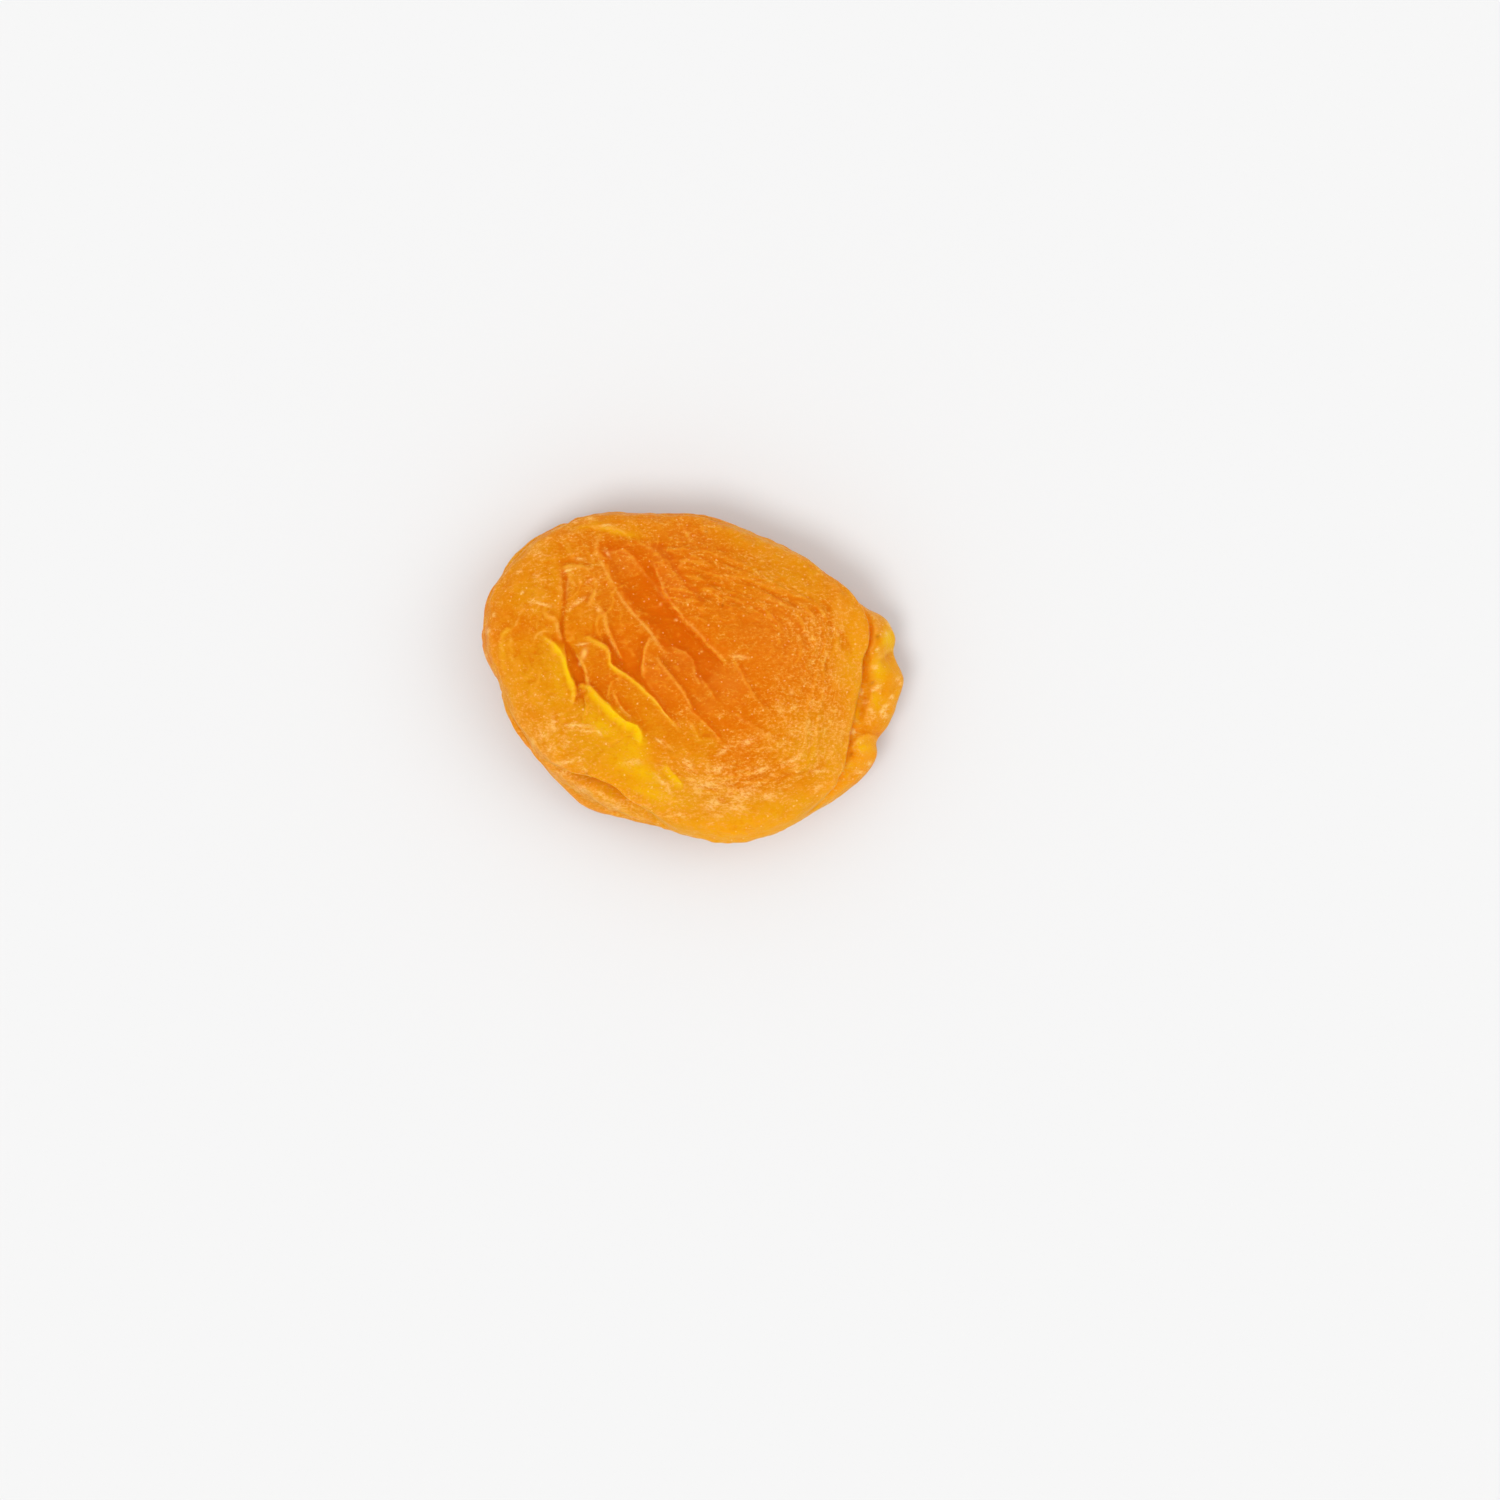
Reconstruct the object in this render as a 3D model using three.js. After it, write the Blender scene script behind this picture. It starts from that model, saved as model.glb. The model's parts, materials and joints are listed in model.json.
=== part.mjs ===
// One whole dried apricot, grown and dried as a single piece of flesh and skin.
// Millimetres, +Z up. It lies flat on its underside, with the broken stem end towards +X.
import * as THREE from 'three';

// Heights above the flat spot that the fruit rests on, and the upper leaf's rise above the seam.
const DOME_HEIGHT = 11.4;
const SHOULDER_HEIGHT = 9.1;
const UPPER_LEAF_RISE = 1.3;
const LOWER_LEAF_HEIGHT = 4.8;
const UNDER_EDGE_HEIGHT = 2.2;

// How far the rounded shoulder and the underside's edge lie inside the two leaves of the rim.
const SHOULDER_INSET = 3.0;
const UNDER_INSET = 3.0;

// The flat spot underneath, half its length and half its width.
const FLAT_X = 8.5;
const FLAT_Y = 6.3;

// Swelling and sinking of the rim and the underside as the fruit dried.
const RIM_SWELL = 0.14;
const UNDERSIDE_SWELL = 0.45;

// Cells along each side of the grid over the top, and rows of faces down each band of the side.
const GRID = 42;
const BAND_ROWS = [2, 2, 1, 2, 2, 1, 1, 1, 2, 3, 3];

// Edge of the upper leaf, which folds over the seam. Anticlockwise from the stem end.
const UPPER_LEAF = [
  [17.1, 0.2], [17.1, 1.6], [17.7, 3.3], [17.8, 4.8], [17.3, 6.3], [16.9, 7.5], [15.5, 9.2],
  [13.8, 10.4], [11.9, 11.8], [9.8, 12.9], [7.7, 13.9], [4.7, 15.1], [1.6, 16.2], [-0.5, 16.6],
  [-2.7, 16.5], [-5.7, 16.7], [-9.7, 16.6], [-11.7, 16.1], [-13.7, 15.4], [-16.4, 14.0],
  [-18.7, 11.8], [-19.9, 10.0], [-20.7, 8.9], [-21.3, 7.2], [-21.4, 5.6], [-21.2, 4.0],
  [-20.4, 1.8], [-19.4, -0.6], [-17.8, -3.4], [-15.6, -6.4], [-13.2, -8.6], [-10.9, -9.9],
  [-8.4, -11.0], [-6.7, -12.5], [-4.4, -13.2], [-2.4, -14.0], [0.6, -14.8], [3.5, -15.1],
  [6.7, -14.6], [9.0, -13.9], [13.4, -11.8], [14.9, -10.0], [15.5, -8.2], [15.8, -6.5],
  [16.3, -3.8], [16.7, -1.8],
];

// Edge of the lower leaf. It stands out as three lobes at the broken stem end.
const LOWER_LEAF = [
  [21.5, -0.2], [20.7, 1.5], [20.35, 2.4], [20.3, 2.8], [20.6, 3.4], [20.5, 4.2], [20.2, 5.0],
  [19.6, 6.0], [18.8, 6.5], [18.0, 6.8], [16.2, 8.0], [13.4, 10.2], [9.6, 12.5], [4.6, 14.7],
  [1.6, 15.7], [-0.5, 16.2], [-5.7, 16.4], [-9.6, 16.2], [-13.6, 15.1], [-17.1, 13.0],
  [-19.7, 9.8], [-21.2, 6.9], [-21.5, 4.6], [-21.2, 1.3], [-20.0, -0.7], [-19.0, -3.8],
  [-17.4, -6.1], [-15.3, -9.6], [-12.9, -12.1], [-10.9, -13.6], [-7.5, -14.5], [-4.7, -15.2],
  [-2.9, -15.7], [0.4, -16.4], [2.5, -16.9], [5.7, -16.7], [8.7, -15.7], [11.8, -14.3],
  [14.0, -13.0], [15.6, -11.8], [17.3, -10.4], [18.4, -8.9], [18.75, -7.7], [18.6, -6.9],
  [19.2, -5.9], [19.7, -5.3], [20.3, -4.1], [20.9, -2.4], [21.4, -1.0],
];

// The seam between the leaves: angle in degrees from the stem end, depth, height, and how far the
// leaves have grown together into one rounded side, from 0 to 1.
const SEAM = [
  [0, 0.5, 6.5, 0], [15, 0.5, 6.6, 0], [28, 0.3, 6.3, 0.3], [45, 0.25, 5.8, 0.6], [75, 0.1, 5.3, 0.9],
  [105, 0.15, 5.6, 0.8], [140, 0.1, 6.2, 0.9], [170, 0, 6.5, 1], [190, 0, 6.8, 1], [205, 0.1, 7.1, 0.9],
  [217, 0.3, 7.4, 0.35], [227, 0.5, 7.5, 0], [242, 0.45, 7.3, 0], [252, 0.2, 7.0, 0.4],
  [263, 0, 6.6, 0.95], [280, 0, 6.2, 1], [305, 0, 6.1, 1], [316, 0.2, 6.2, 0.5], [325, 0.5, 6.3, 0],
  [340, 0.5, 6.4, 0],
];

// Broad swells and hollows of the top: centre, half-widths, turn in degrees and height.
const SWELLS = [
  [-2.6, 4.4, 9.0, 2.4, -48, -0.75], [-11.6, 1.0, 2.4, 5.0, 10, -0.4], [-14.5, 8.5, 4.0, 4.0, 0, 0.35],
  [9.0, 1.0, 6.0, 7.0, 0, 0.5], [-8.5, -6.5, 5.0, 2.4, -40, 0.4], [3.0, -8.0, 6.0, 1.6, -20, -0.35],
  [3.0, 12.0, 5.0, 2.0, -20, 0.25],
];

// Folds and creases of the skin on top. Each follows its path, rises or sinks by its height, and
// dies away over its width on the left and on the right of the way the path runs.
const FOLDS = [
  {
    path: [[-10.0, 13.4], [-9.3, 10.9], [-6.7, 6.8], [-3.7, 3.6], [-1.6, -1.3], [0, -3.6]],
    height: 0.4, left: 1.4, right: 2.8,
  },
  {
    path: [[-8.2, 12.2], [-7.0, 9.6], [-4.5, 6.6], [-2.0, 3.4], [0.2, -0.8]],
    height: -0.45, left: 1.3, right: 1.3,
  },
  {
    path: [[-7.6, 12.7], [-5.0, 10.4], [-1.4, 6.0], [0.6, 4.3], [5.7, -0.7], [7.4, -3.6]],
    height: -0.45, left: 1.4, right: 1.4,
  },
  { path: [[-3.9, 12.9], [-3.0, 12.2], [-1.4, 9.8], [0.6, 8.1]], height: -0.4, left: 1.2, right: 1.2 },
  {
    path: [[-13.4, 10.8], [-13.3, 8.0], [-13.3, 4.8], [-11.6, 1.7], [-10.6, -1.0]],
    height: -0.55, left: 1.3, right: 1.2,
  },
  {
    path: [[-16.6, 3.4], [-15.3, 3.8], [-13.8, 2.6], [-12.7, 0.4], [-12.4, -3.0]],
    height: 0.65, left: 1.1, right: 2.0,
  },
  {
    path: [[-12.2, -1.6], [-10.3, -1.5], [-8.0, -4.1], [-6.0, -5.2], [-5.4, -7.2]],
    height: 0.65, left: 1.2, right: 2.0,
  },
  {
    path: [[-10.4, 3.7], [-8.5, 2.4], [-7.1, 0.2], [-5.0, -1.5], [-2.6, -4.2], [-0.8, -6.4]],
    height: 0.45, left: 1.2, right: 1.5,
  },
  { path: [[-9.4, 0.8], [-6.9, -2.4], [-4.2, -5.2], [-2.6, -8.6]], height: -0.4, left: 1.2, right: 1.2 },
  { path: [[-9.6, 6.4], [-8.7, 4.3], [-7.3, 1.3]], height: 0.3, left: 1.2, right: 1.2 },
  { path: [[1.0, -7.0], [5.0, -10.0], [9.5, -10.6], [13.0, -8.6]], height: -0.2, left: 1.4, right: 1.4 },
];
const FOLD_END = 1.6;

const SKIN = new THREE.MeshStandardMaterial({
  name: 'dried_flesh',
  color: 0xec8a22,
  roughness: 0.5,
  metalness: 0,
});

const TURN = 2 * Math.PI;

function smooth(t) {
  const u = Math.min(1, Math.max(0, t));
  return u * u * (3 - 2 * u);
}

// A smooth closed curve of values by angle, through [angle, value] pairs.
function around(pairs) {
  const sorted = pairs.map(([a, v]) => [((a % TURN) + TURN) % TURN, v]).sort((p, q) => p[0] - q[0]);
  const count = sorted.length;
  const at = (i) => {
    const lap = Math.floor(i / count);
    const [a, v] = sorted[i - lap * count];
    return [a + lap * TURN, v];
  };
  const slope = (i) => (at(i + 1)[1] - at(i - 1)[1]) / (at(i + 1)[0] - at(i - 1)[0]);
  return (angle) => {
    const a = ((angle % TURN) + TURN) % TURN;
    let i = -1;
    while (at(i + 1)[0] <= a) i += 1;
    const [a0, v0] = at(i);
    const [a1, v1] = at(i + 1);
    const span = a1 - a0;
    const t = (a - a0) / span;
    const rise = t * t * (3 - 2 * t);
    const leave = t * (1 - t) * (1 - t) * span;
    const arrive = -t * t * (1 - t) * span;
    return v0 + (v1 - v0) * rise + slope(i) * leave + slope(i + 1) * arrive;
  };
}

const byAngle = (points) => around(points.map(([x, y]) => [Math.atan2(y, x), Math.hypot(x, y)]));
const upperRadius = byAngle(UPPER_LEAF);
const lowerRadius = byAngle(LOWER_LEAF);
const seamColumn = (column) => around(SEAM.map((row) => [THREE.MathUtils.degToRad(row[0]), row[column]]));
const seamDepth = seamColumn(1);
const seamHeight = seamColumn(2);
const seamClosing = seamColumn(3);

// Height that one fold adds at a point seen from above.
function foldHeight(fold, x, y) {
  let nearest = Infinity;
  let side = 1;
  let along = 0;
  let length = 0;
  for (let i = 1; i < fold.path.length; i += 1) {
    const [x0, y0] = fold.path[i - 1];
    const [x1, y1] = fold.path[i];
    const dx = x1 - x0;
    const dy = y1 - y0;
    const step = Math.hypot(dx, dy);
    const t = Math.min(1, Math.max(0, ((x - x0) * dx + (y - y0) * dy) / (step * step)));
    const away = Math.hypot(x - x0 - t * dx, y - y0 - t * dy);
    if (away < nearest) {
      nearest = away;
      side = Math.sign(dx * (y - y0) - dy * (x - x0)) || 1;
      along = length + t * step;
    }
    length += step;
  }
  const width = side > 0 ? fold.left : fold.right;
  const ends = smooth((along + 0.5) / FOLD_END) * smooth((length - along + 0.5) / FOLD_END);
  return fold.height * ends * Math.exp(-((nearest / width) ** 2));
}

// Height that one broad swell adds at a point seen from above.
function swellHeight([middleX, middleY, halfX, halfY, degrees, height], x, y) {
  const turn = THREE.MathUtils.degToRad(degrees);
  const u = ((x - middleX) * Math.cos(turn) + (y - middleY) * Math.sin(turn)) / halfX;
  const v = ((y - middleY) * Math.cos(turn) - (x - middleX) * Math.sin(turn)) / halfY;
  return height * Math.exp(-0.9 * (u * u + v * v));
}

// Height of the top skin, where reach runs from 0 in the middle to 1 at the shoulder.
function topPoint(angle, reach) {
  const radius = reach * (upperRadius(angle) - SHOULDER_INSET);
  const x = radius * Math.cos(angle);
  const y = radius * Math.sin(angle);
  const dome = SHOULDER_HEIGHT + (DOME_HEIGHT - SHOULDER_HEIGHT) * (1 - reach * reach);
  const folds = FOLDS.reduce((sum, fold) => sum + foldHeight(fold, x, y), 0);
  const swells = SWELLS.reduce((sum, swell) => sum + swellHeight(swell, x, y), 0);
  return new THREE.Vector3(x, y, dome + (folds + swells) * (1 - 0.4 * reach ** 6));
}

// The side from the shoulder, round both leaves and the seam, and in under to the flat spot.
function sideCurve(angle) {
  const upper = upperRadius(angle);
  const lower = lowerRadius(angle);
  const seam = Math.min(upper, lower) - seamDepth(angle);
  const ledge = lower - seam;
  const under = lower - UNDER_INSET;
  const flat = (FLAT_X * FLAT_Y) / Math.hypot(FLAT_Y * Math.cos(angle), FLAT_X * Math.sin(angle));
  const swell = RIM_SWELL * Math.sin(9 * angle) * Math.sin(4 * angle + 1);
  const sag = UNDERSIDE_SWELL * (1 + Math.sin(5 * angle + 1) * Math.cos(2 * angle));
  const middle = seamHeight(angle);
  const high = middle + UPPER_LEAF_RISE + swell;
  const low = LOWER_LEAF_HEIGHT - 0.35 * (middle - LOWER_LEAF_HEIGHT) - swell;
  const shoulder = upper - SHOULDER_INSET;
  const widest = Math.max(upper, lower);
  const closed = THREE.MathUtils.clamp(seamClosing(angle), 0, 1);
  const lip = smooth((ledge - 2.2) / 2);
  const at = (radius, height) => (
    new THREE.Vector3(radius * Math.cos(angle), radius * Math.sin(angle), height)
  );
  // A point of the leaf, drawn onto one rounded side where the leaves have grown together.
  const rounded = (out, down, radius, height) => at(
    THREE.MathUtils.lerp(radius, shoulder + (widest - shoulder) * out, closed),
    THREE.MathUtils.lerp(height, SHOULDER_HEIGHT + (low - SHOULDER_HEIGHT) * down, closed),
  );
  return new THREE.CatmullRomCurve3([
    topPoint(angle, 0.85),
    topPoint(angle, 1),
    rounded(0.62, 0.13, upper - 0.9, 0.5 * high + 0.5 * SHOULDER_HEIGHT),
    rounded(0.85, 0.31, upper, high),
    rounded(0.93, 0.44, upper - 0.35 * (upper - seam), high - 0.9),
    rounded(0.98, 0.57, seam, middle),
    rounded(1.0, 0.7, lower - 0.5 * ledge, low + (0.8 + 0.25 * lip) * (middle - low)),
    rounded(0.99, 0.84, lower - Math.min(0.35, 0.25 * ledge) * (1 + lip), low + 0.8 + 0.4 * lip),
    rounded(0.96, 1.0, lower, low),
    at(lower - 0.5 - 0.6 * closed, low - 1.0),
    at(under, UNDER_EDGE_HEIGHT + 0.3 * sag),
    at(flat + (under - flat) * 0.45, 0.35 + 0.5 * sag),
    at(flat, 0),
    at(flat * 0.8, 0),
  ], false, 'centripetal');
}

// Angle and reach at one corner of the square grid, which is drawn out into a disc.
function discPlace(column, row) {
  const a = (2 * column) / GRID - 1;
  const b = (2 * row) / GRID - 1;
  const x = a * Math.sqrt(1 - (b * b) / 2);
  const y = b * Math.sqrt(1 - (a * a) / 2);
  return [Math.atan2(y, x), Math.hypot(x, y)];
}

function buildFruit() {
  const corners = [];
  const faces = [];
  const add = (point) => corners.push(point.x, point.y, point.z) / 3 - 1;

  const top = [];
  for (let row = 0; row <= GRID; row += 1) {
    top.push([]);
    for (let column = 0; column <= GRID; column += 1) {
      top[row].push(add(topPoint(...discPlace(column, row))));
    }
  }
  for (let row = 0; row < GRID; row += 1) {
    for (let column = 0; column < GRID; column += 1) {
      const [p, q] = [top[row][column], top[row][column + 1]];
      const [r, s] = [top[row + 1][column + 1], top[row + 1][column]];
      const outward = row < GRID / 2 === column < GRID / 2;
      faces.push(...(outward ? [p, q, r, p, r, s] : [p, q, s, q, r, s]));
    }
  }

  // The grid's border, anticlockwise from its lower left corner, is the first ring of the side.
  const border = [];
  for (let i = 0; i < GRID; i += 1) border.push([i, 0]);
  for (let i = 0; i < GRID; i += 1) border.push([GRID, i]);
  for (let i = 0; i < GRID; i += 1) border.push([GRID - i, GRID]);
  for (let i = 0; i < GRID; i += 1) border.push([0, GRID - i]);
  const curves = border.map(([column, row]) => sideCurve(discPlace(column, row)[0]));
  let ring = border.map(([column, row]) => top[row][column]);
  BAND_ROWS.forEach((rows, band) => {
    for (let row = 1; row <= rows; row += 1) {
      const t = (1 + band + row / rows) / (BAND_ROWS.length + 2);
      const next = curves.map((curve) => add(curve.getPoint(t)));
      for (let i = 0; i < ring.length; i += 1) {
        const j = (i + 1) % ring.length;
        faces.push(ring[i], next[i], next[j], ring[i], next[j], ring[j]);
      }
      ring = next;
    }
  });

  // The flat spot closes the underside.
  const middle = add(new THREE.Vector3(0, 0, 0));
  for (let i = 0; i < ring.length; i += 1) faces.push(ring[i], middle, ring[(i + 1) % ring.length]);

  const geometry = new THREE.BufferGeometry();
  geometry.setAttribute('position', new THREE.Float32BufferAttribute(corners, 3));
  geometry.setIndex(faces);
  geometry.computeBoundingBox();
  const { min, max } = geometry.boundingBox;
  geometry.translate(-(min.x + max.x) / 2, -(min.y + max.y) / 2, 0);
  geometry.computeVertexNormals();
  return geometry;
}

const apricot = new THREE.Mesh(buildFruit(), SKIN);
apricot.name = 'apricot';

const group = new THREE.Group();
group.add(apricot);
export default group;
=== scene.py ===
"""One whole dried apricot lying on a pale floor under soft studio light. Metres, +Z up."""

import json
import math

import bpy
import numpy as np
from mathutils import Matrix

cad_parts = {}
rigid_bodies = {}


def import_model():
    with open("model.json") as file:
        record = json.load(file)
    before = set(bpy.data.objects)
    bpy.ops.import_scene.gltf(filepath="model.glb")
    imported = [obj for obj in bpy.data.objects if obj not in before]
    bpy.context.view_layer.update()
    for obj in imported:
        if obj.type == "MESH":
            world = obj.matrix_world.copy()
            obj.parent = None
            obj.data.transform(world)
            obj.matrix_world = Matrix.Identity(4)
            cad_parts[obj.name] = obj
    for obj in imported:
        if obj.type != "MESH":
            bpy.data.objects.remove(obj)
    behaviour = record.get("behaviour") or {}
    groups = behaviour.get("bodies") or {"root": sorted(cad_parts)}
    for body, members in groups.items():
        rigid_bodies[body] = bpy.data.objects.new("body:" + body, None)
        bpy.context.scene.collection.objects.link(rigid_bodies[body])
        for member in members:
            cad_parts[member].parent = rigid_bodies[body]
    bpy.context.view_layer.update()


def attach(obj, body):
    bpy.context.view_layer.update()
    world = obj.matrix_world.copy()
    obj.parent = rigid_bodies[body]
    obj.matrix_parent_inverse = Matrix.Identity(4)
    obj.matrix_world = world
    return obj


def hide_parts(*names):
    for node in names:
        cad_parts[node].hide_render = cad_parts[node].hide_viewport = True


MM = 0.001
TURN = 2 * math.pi

# Heights above the flat spot that the fruit rests on, and sizes of the rim, in mm.
DOME_HEIGHT = 11.4
SHOULDER_HEIGHT = 9.1
SHOULDER_INSET = 3.0
UPPER_LEAF_RISE = 1.3
LOWER_LEAF_HEIGHT = 4.8
UNDER_EDGE_HEIGHT = 2.2
UNDER_INSET = 3.0
FLAT_X = 8.5
FLAT_Y = 6.3
RIM_SWELL = 0.14
UNDERSIDE_SWELL = 0.45
SEAM_WAVE = 0.5

# What turns an angle and a place into rough distances round the rim and in from it, in mm, and an angle in
# degrees into one along the side.
RIM_RADIUS = 14
TOP_REACH = 15
MM_PER_DEGREE = 0.33

# Faces along each side of the grid over the top, and rows of faces in each band down the side. At the
# first band, and again at the underside band, the faces become twice as wide.
GRID = 256
BAND_ROWS = [7, 6, 4, 5, 11, 8, 5, 4, 4, 9, 8]
WIDENING_BANDS = (0, 9)

# Rows of the flat spot, and how far they reach in towards its middle.
FLAT_ROWS = 7
FLAT_REACH = 0.94

# A place on the surface is 0 in the middle of the top and 1 at the shoulder, and each band adds 1: 3 is
# the upper leaf's edge, 5 the bottom of the seam, 8 the lower leaf's edge and 10 the turn of the underside.
FLAT_PLACE = 1 + len(BAND_ROWS)

# The row at the bottom of the seam, and how many times its crowded corners are evened out.
SEAM_ROW = 4.85
EVENING_ROUNDS = 10

# Corners whose faces look this far apart (as a cosine) have folded over, and are eased this many times.
FOLDED = 0.5
EASING_ROUNDS = 8

# Rounds of averaging that tell ridges and hollows from what lies nearby and farther around, for the painted
# highlights on the ridges and the painted shade in the hollows.
NEARBY_ROUNDS = 12
WIDE_ROUNDS = 300

# Points round each closed curve, and how often they are evened out to round its corners off.
CURVE_STEPS = 1440
CURVE_ROUNDING = 30

# The integer hash behind the noise, and what brings the noise up to about 1.
HASH_STEPS = (374761393, 668265263, 1274126177)
HASH_SEED = 144665
HASH_STIR = 1103515245
HASH_BITS = 0xFFFFFFFF
NOISE_GAIN = 1.3

# The lists below give places, heights and widths in tenths of a millimetre, and strengths in tenths.
TENTHS = 10

# Edge of the upper leaf, anticlockwise from the stem end.
UPPER_LEAF = [
    (171, 2), (171, 16), (177, 33), (178, 48), (173, 63), (169, 75), (155, 92), (138, 104), (119, 118),
    (98, 129), (77, 139), (47, 151), (16, 162), (-5, 166), (-27, 165), (-57, 167), (-97, 166), (-117, 161),
    (-137, 154), (-164, 140), (-187, 118), (-199, 100), (-207, 89), (-213, 72), (-214, 56), (-212, 40),
    (-204, 18), (-194, -6), (-178, -34), (-156, -64), (-132, -86), (-109, -99), (-84, -110), (-67, -125),
    (-44, -132), (-24, -140), (6, -148), (35, -151), (67, -146), (90, -139), (134, -118), (149, -100),
    (155, -82), (158, -65), (163, -38), (167, -18),
]

# Edge of the lower leaf, with the three lobes of the torn stem end.
LOWER_LEAF = [
    (215, -2), (207, 15), (203.5, 24), (203, 28), (206, 34), (205, 42), (202, 50), (196, 60), (188, 65),
    (180, 68), (162, 80), (134, 102), (96, 125), (46, 147), (16, 157), (-5, 162), (-57, 164), (-96, 162),
    (-136, 151), (-171, 130), (-197, 98), (-212, 69), (-215, 46), (-212, 13), (-200, -7), (-190, -38),
    (-174, -61), (-153, -96), (-129, -121), (-109, -136), (-75, -145), (-47, -152), (-29, -157), (4, -164),
    (25, -169), (57, -167), (87, -157), (118, -143), (140, -130), (156, -118), (173, -104), (184, -89),
    (187.5, -77), (186, -69), (192, -59), (197, -53), (203, -41), (209, -24), (214, -10),
]

# The seam between the leaves: angle in degrees from the stem end, depth, height, and how far the leaves
# have grown together into one rounded side.
SEAM = [
    (0, 5, 65, 0), (15, 5, 66, 0), (28, 3, 63, 3), (45, 2.5, 58, 6), (75, 1, 53, 9), (105, 1.5, 56, 8),
    (140, 1, 62, 9), (170, 0, 65, 10), (190, 0, 68, 10), (205, 1, 71, 9), (217, 3, 74, 3.5), (227, 5, 75, 0),
    (242, 4.5, 73, 0), (252, 2, 70, 4), (263, 0, 66, 9.5), (280, 0, 62, 10), (305, 0, 61, 10),
    (316, 2, 62, 5), (325, 5, 63, 0), (340, 5, 64, 0),
]

# Factors on the height and the width given for each fold, and the height of a full stroke in mm.
FOLD_HEIGHT = 0.95
FOLD_WIDTH = 1.2
STROKE_RISE = 0.06

# Where the painted highlight along a fold's crest lies and how wide it is, how far its glow reaches down the
# low side, and where the painted shade of the low side begins and how far it goes, in mm.
CREST_HIGHLIGHT_PLACE = 0.05
CREST_HIGHLIGHT_WIDTH = 0.13
GLOW_DOWN = 0.16
SHADE_START = 0.3
SHADE_REACH = 1.4

FOLDS = []


def fold(path, rise=0, drop=0, crease=0, edge=2, near=8, far=8, ends=10, crest_highlight=0, glow=0, lip=4, shade=0):
    """Adds a fold of the skin. The right-hand side of the path swells by rise up to the path, over the
    distance near. There it falls within edge to drop below the skin, which it comes back to over the
    distance far. Crease is the depth of a furrow along the path, and the fold fades away over its ends.
    A painted highlight lightens the crest, glow turns the outer lip of the right-hand side yellow, and
    painted shade deepens the colour of the low side."""
    sizes = np.array(path), rise, drop, crease, edge, near, far, ends, crest_highlight, glow, lip, shade
    FOLDS.append([size / TENTHS for size in sizes])


# The long fold from the top edge to the middle, above the valley.
fold([(-96, 146), (-97, 138), (-100, 128), (-96, 120), (-90, 107), (-81, 91), (-72, 76), (-62, 63), (-51, 52),
     (-42, 42), (-36, 32), (-31, 24), (-25, 14)], 3.5, 5, edge=8, near=24, far=26, ends=18, crest_highlight=9, shade=6)
fold([(-39, 20), (-35, 14), (-30, 7), (-25, 0), (-19, -7), (-14, -13), (-10, -18), (-6, -26), (-3, -32),
     (0, -40)], 2.2, 3, edge=3, near=11, far=12, ends=12, crest_highlight=5, shade=5)
# The rounded lobe that lies in the valley.
fold([(-90, 119), (-87, 124), (-81, 126), (-74, 127), (-68, 124), (-60, 116), (-55, 109), (-49, 102),
     (-42, 94), (-36, 86), (-31, 79), (-24, 69)], 2.5, 3.2, edge=4.2, near=15, far=9, ends=12, crest_highlight=3, shade=8)
# The lobe on the valley's far side.
fold([(36, 9), (27, 19), (18, 28), (13, 33), (6, 41), (-2, 49), (-9, 55), (-16, 64), (-22, 72), (-27, 80),
     (-30, 86), (-34, 96), (-37, 102), (-39, 109), (-44, 117)], 3, 4, edge=4, near=22, far=17, ends=12,
     crest_highlight=5.5, shade=8)
# Creases from the top edge down to the middle.
fold([(-44, 136), (-35, 132), (-28, 125), (-22, 116), (-19, 108), (-12, 98), (-4, 90), (2, 86), (7, 79),
     (10, 71)], 1.6, 1, crease=3, edge=3, near=12, far=10, crest_highlight=1, shade=7)
fold([(-76, 129), (-68, 133), (-56, 134), (-46, 131), (-39, 124), (-33, 116), (-28, 106)], 1.4, 1, edge=3,
     crest_highlight=2, shade=2)
fold([(-2, 132), (-5, 138), (-8, 144), (-11, 150), (-14, 158), (-17, 162)], 1.6, 2, edge=2.5, near=10, far=6,
     ends=8, crest_highlight=4, shade=5)
fold([(-19, 104), (-16, 109), (-11, 114), (-5, 118), (3, 120)], 1.2, 1.5, near=7, far=5, ends=8, crest_highlight=3.5,
     shade=4)
# The upright groove on the left, with the folds around it.
fold([(-134, 114), (-132, 104), (-130, 96), (-130, 88), (-130, 81), (-131, 72), (-133, 62)], crease=3.4,
     edge=3.8, ends=14, shade=8)
fold([(-131, 74), (-133, 62), (-134, 52), (-134, 44), (-132, 36), (-129, 30), (-124, 24), (-120, 18),
     (-118, 9)], crease=2.8, edge=2.4, ends=12, shade=4)
fold([(-136, 114), (-135, 102), (-135, 92), (-134, 84), (-133.5, 74)], ends=8, crest_highlight=6)
fold([(-123, 108), (-125, 100), (-127, 92), (-128, 82), (-128, 72)], ends=8, crest_highlight=5)
fold([(-138, 106), (-132, 109), (-124, 111), (-116, 110), (-108, 108), (-100, 109)], 2, 2, edge=2.2, near=10,
     ends=8, crest_highlight=7, shade=5)
fold([(-107, 68), (-104, 76), (-101, 82), (-100, 89)], 1.5, 1.5, far=6, ends=7, crest_highlight=7, shade=4)
fold([(-154, 64), (-147, 60.5), (-142, 58.5), (-138.5, 53), (-138, 46), (-136, 40), (-132, 34)], 2, 1.5,
     near=9, far=5, ends=7, crest_highlight=8, shade=4)
fold([(-164, 29), (-163, 34), (-161, 40), (-156, 44), (-150, 46), (-144, 44)], 1.8, near=6, far=12, ends=7,
     crest_highlight=6, shade=2)
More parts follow.
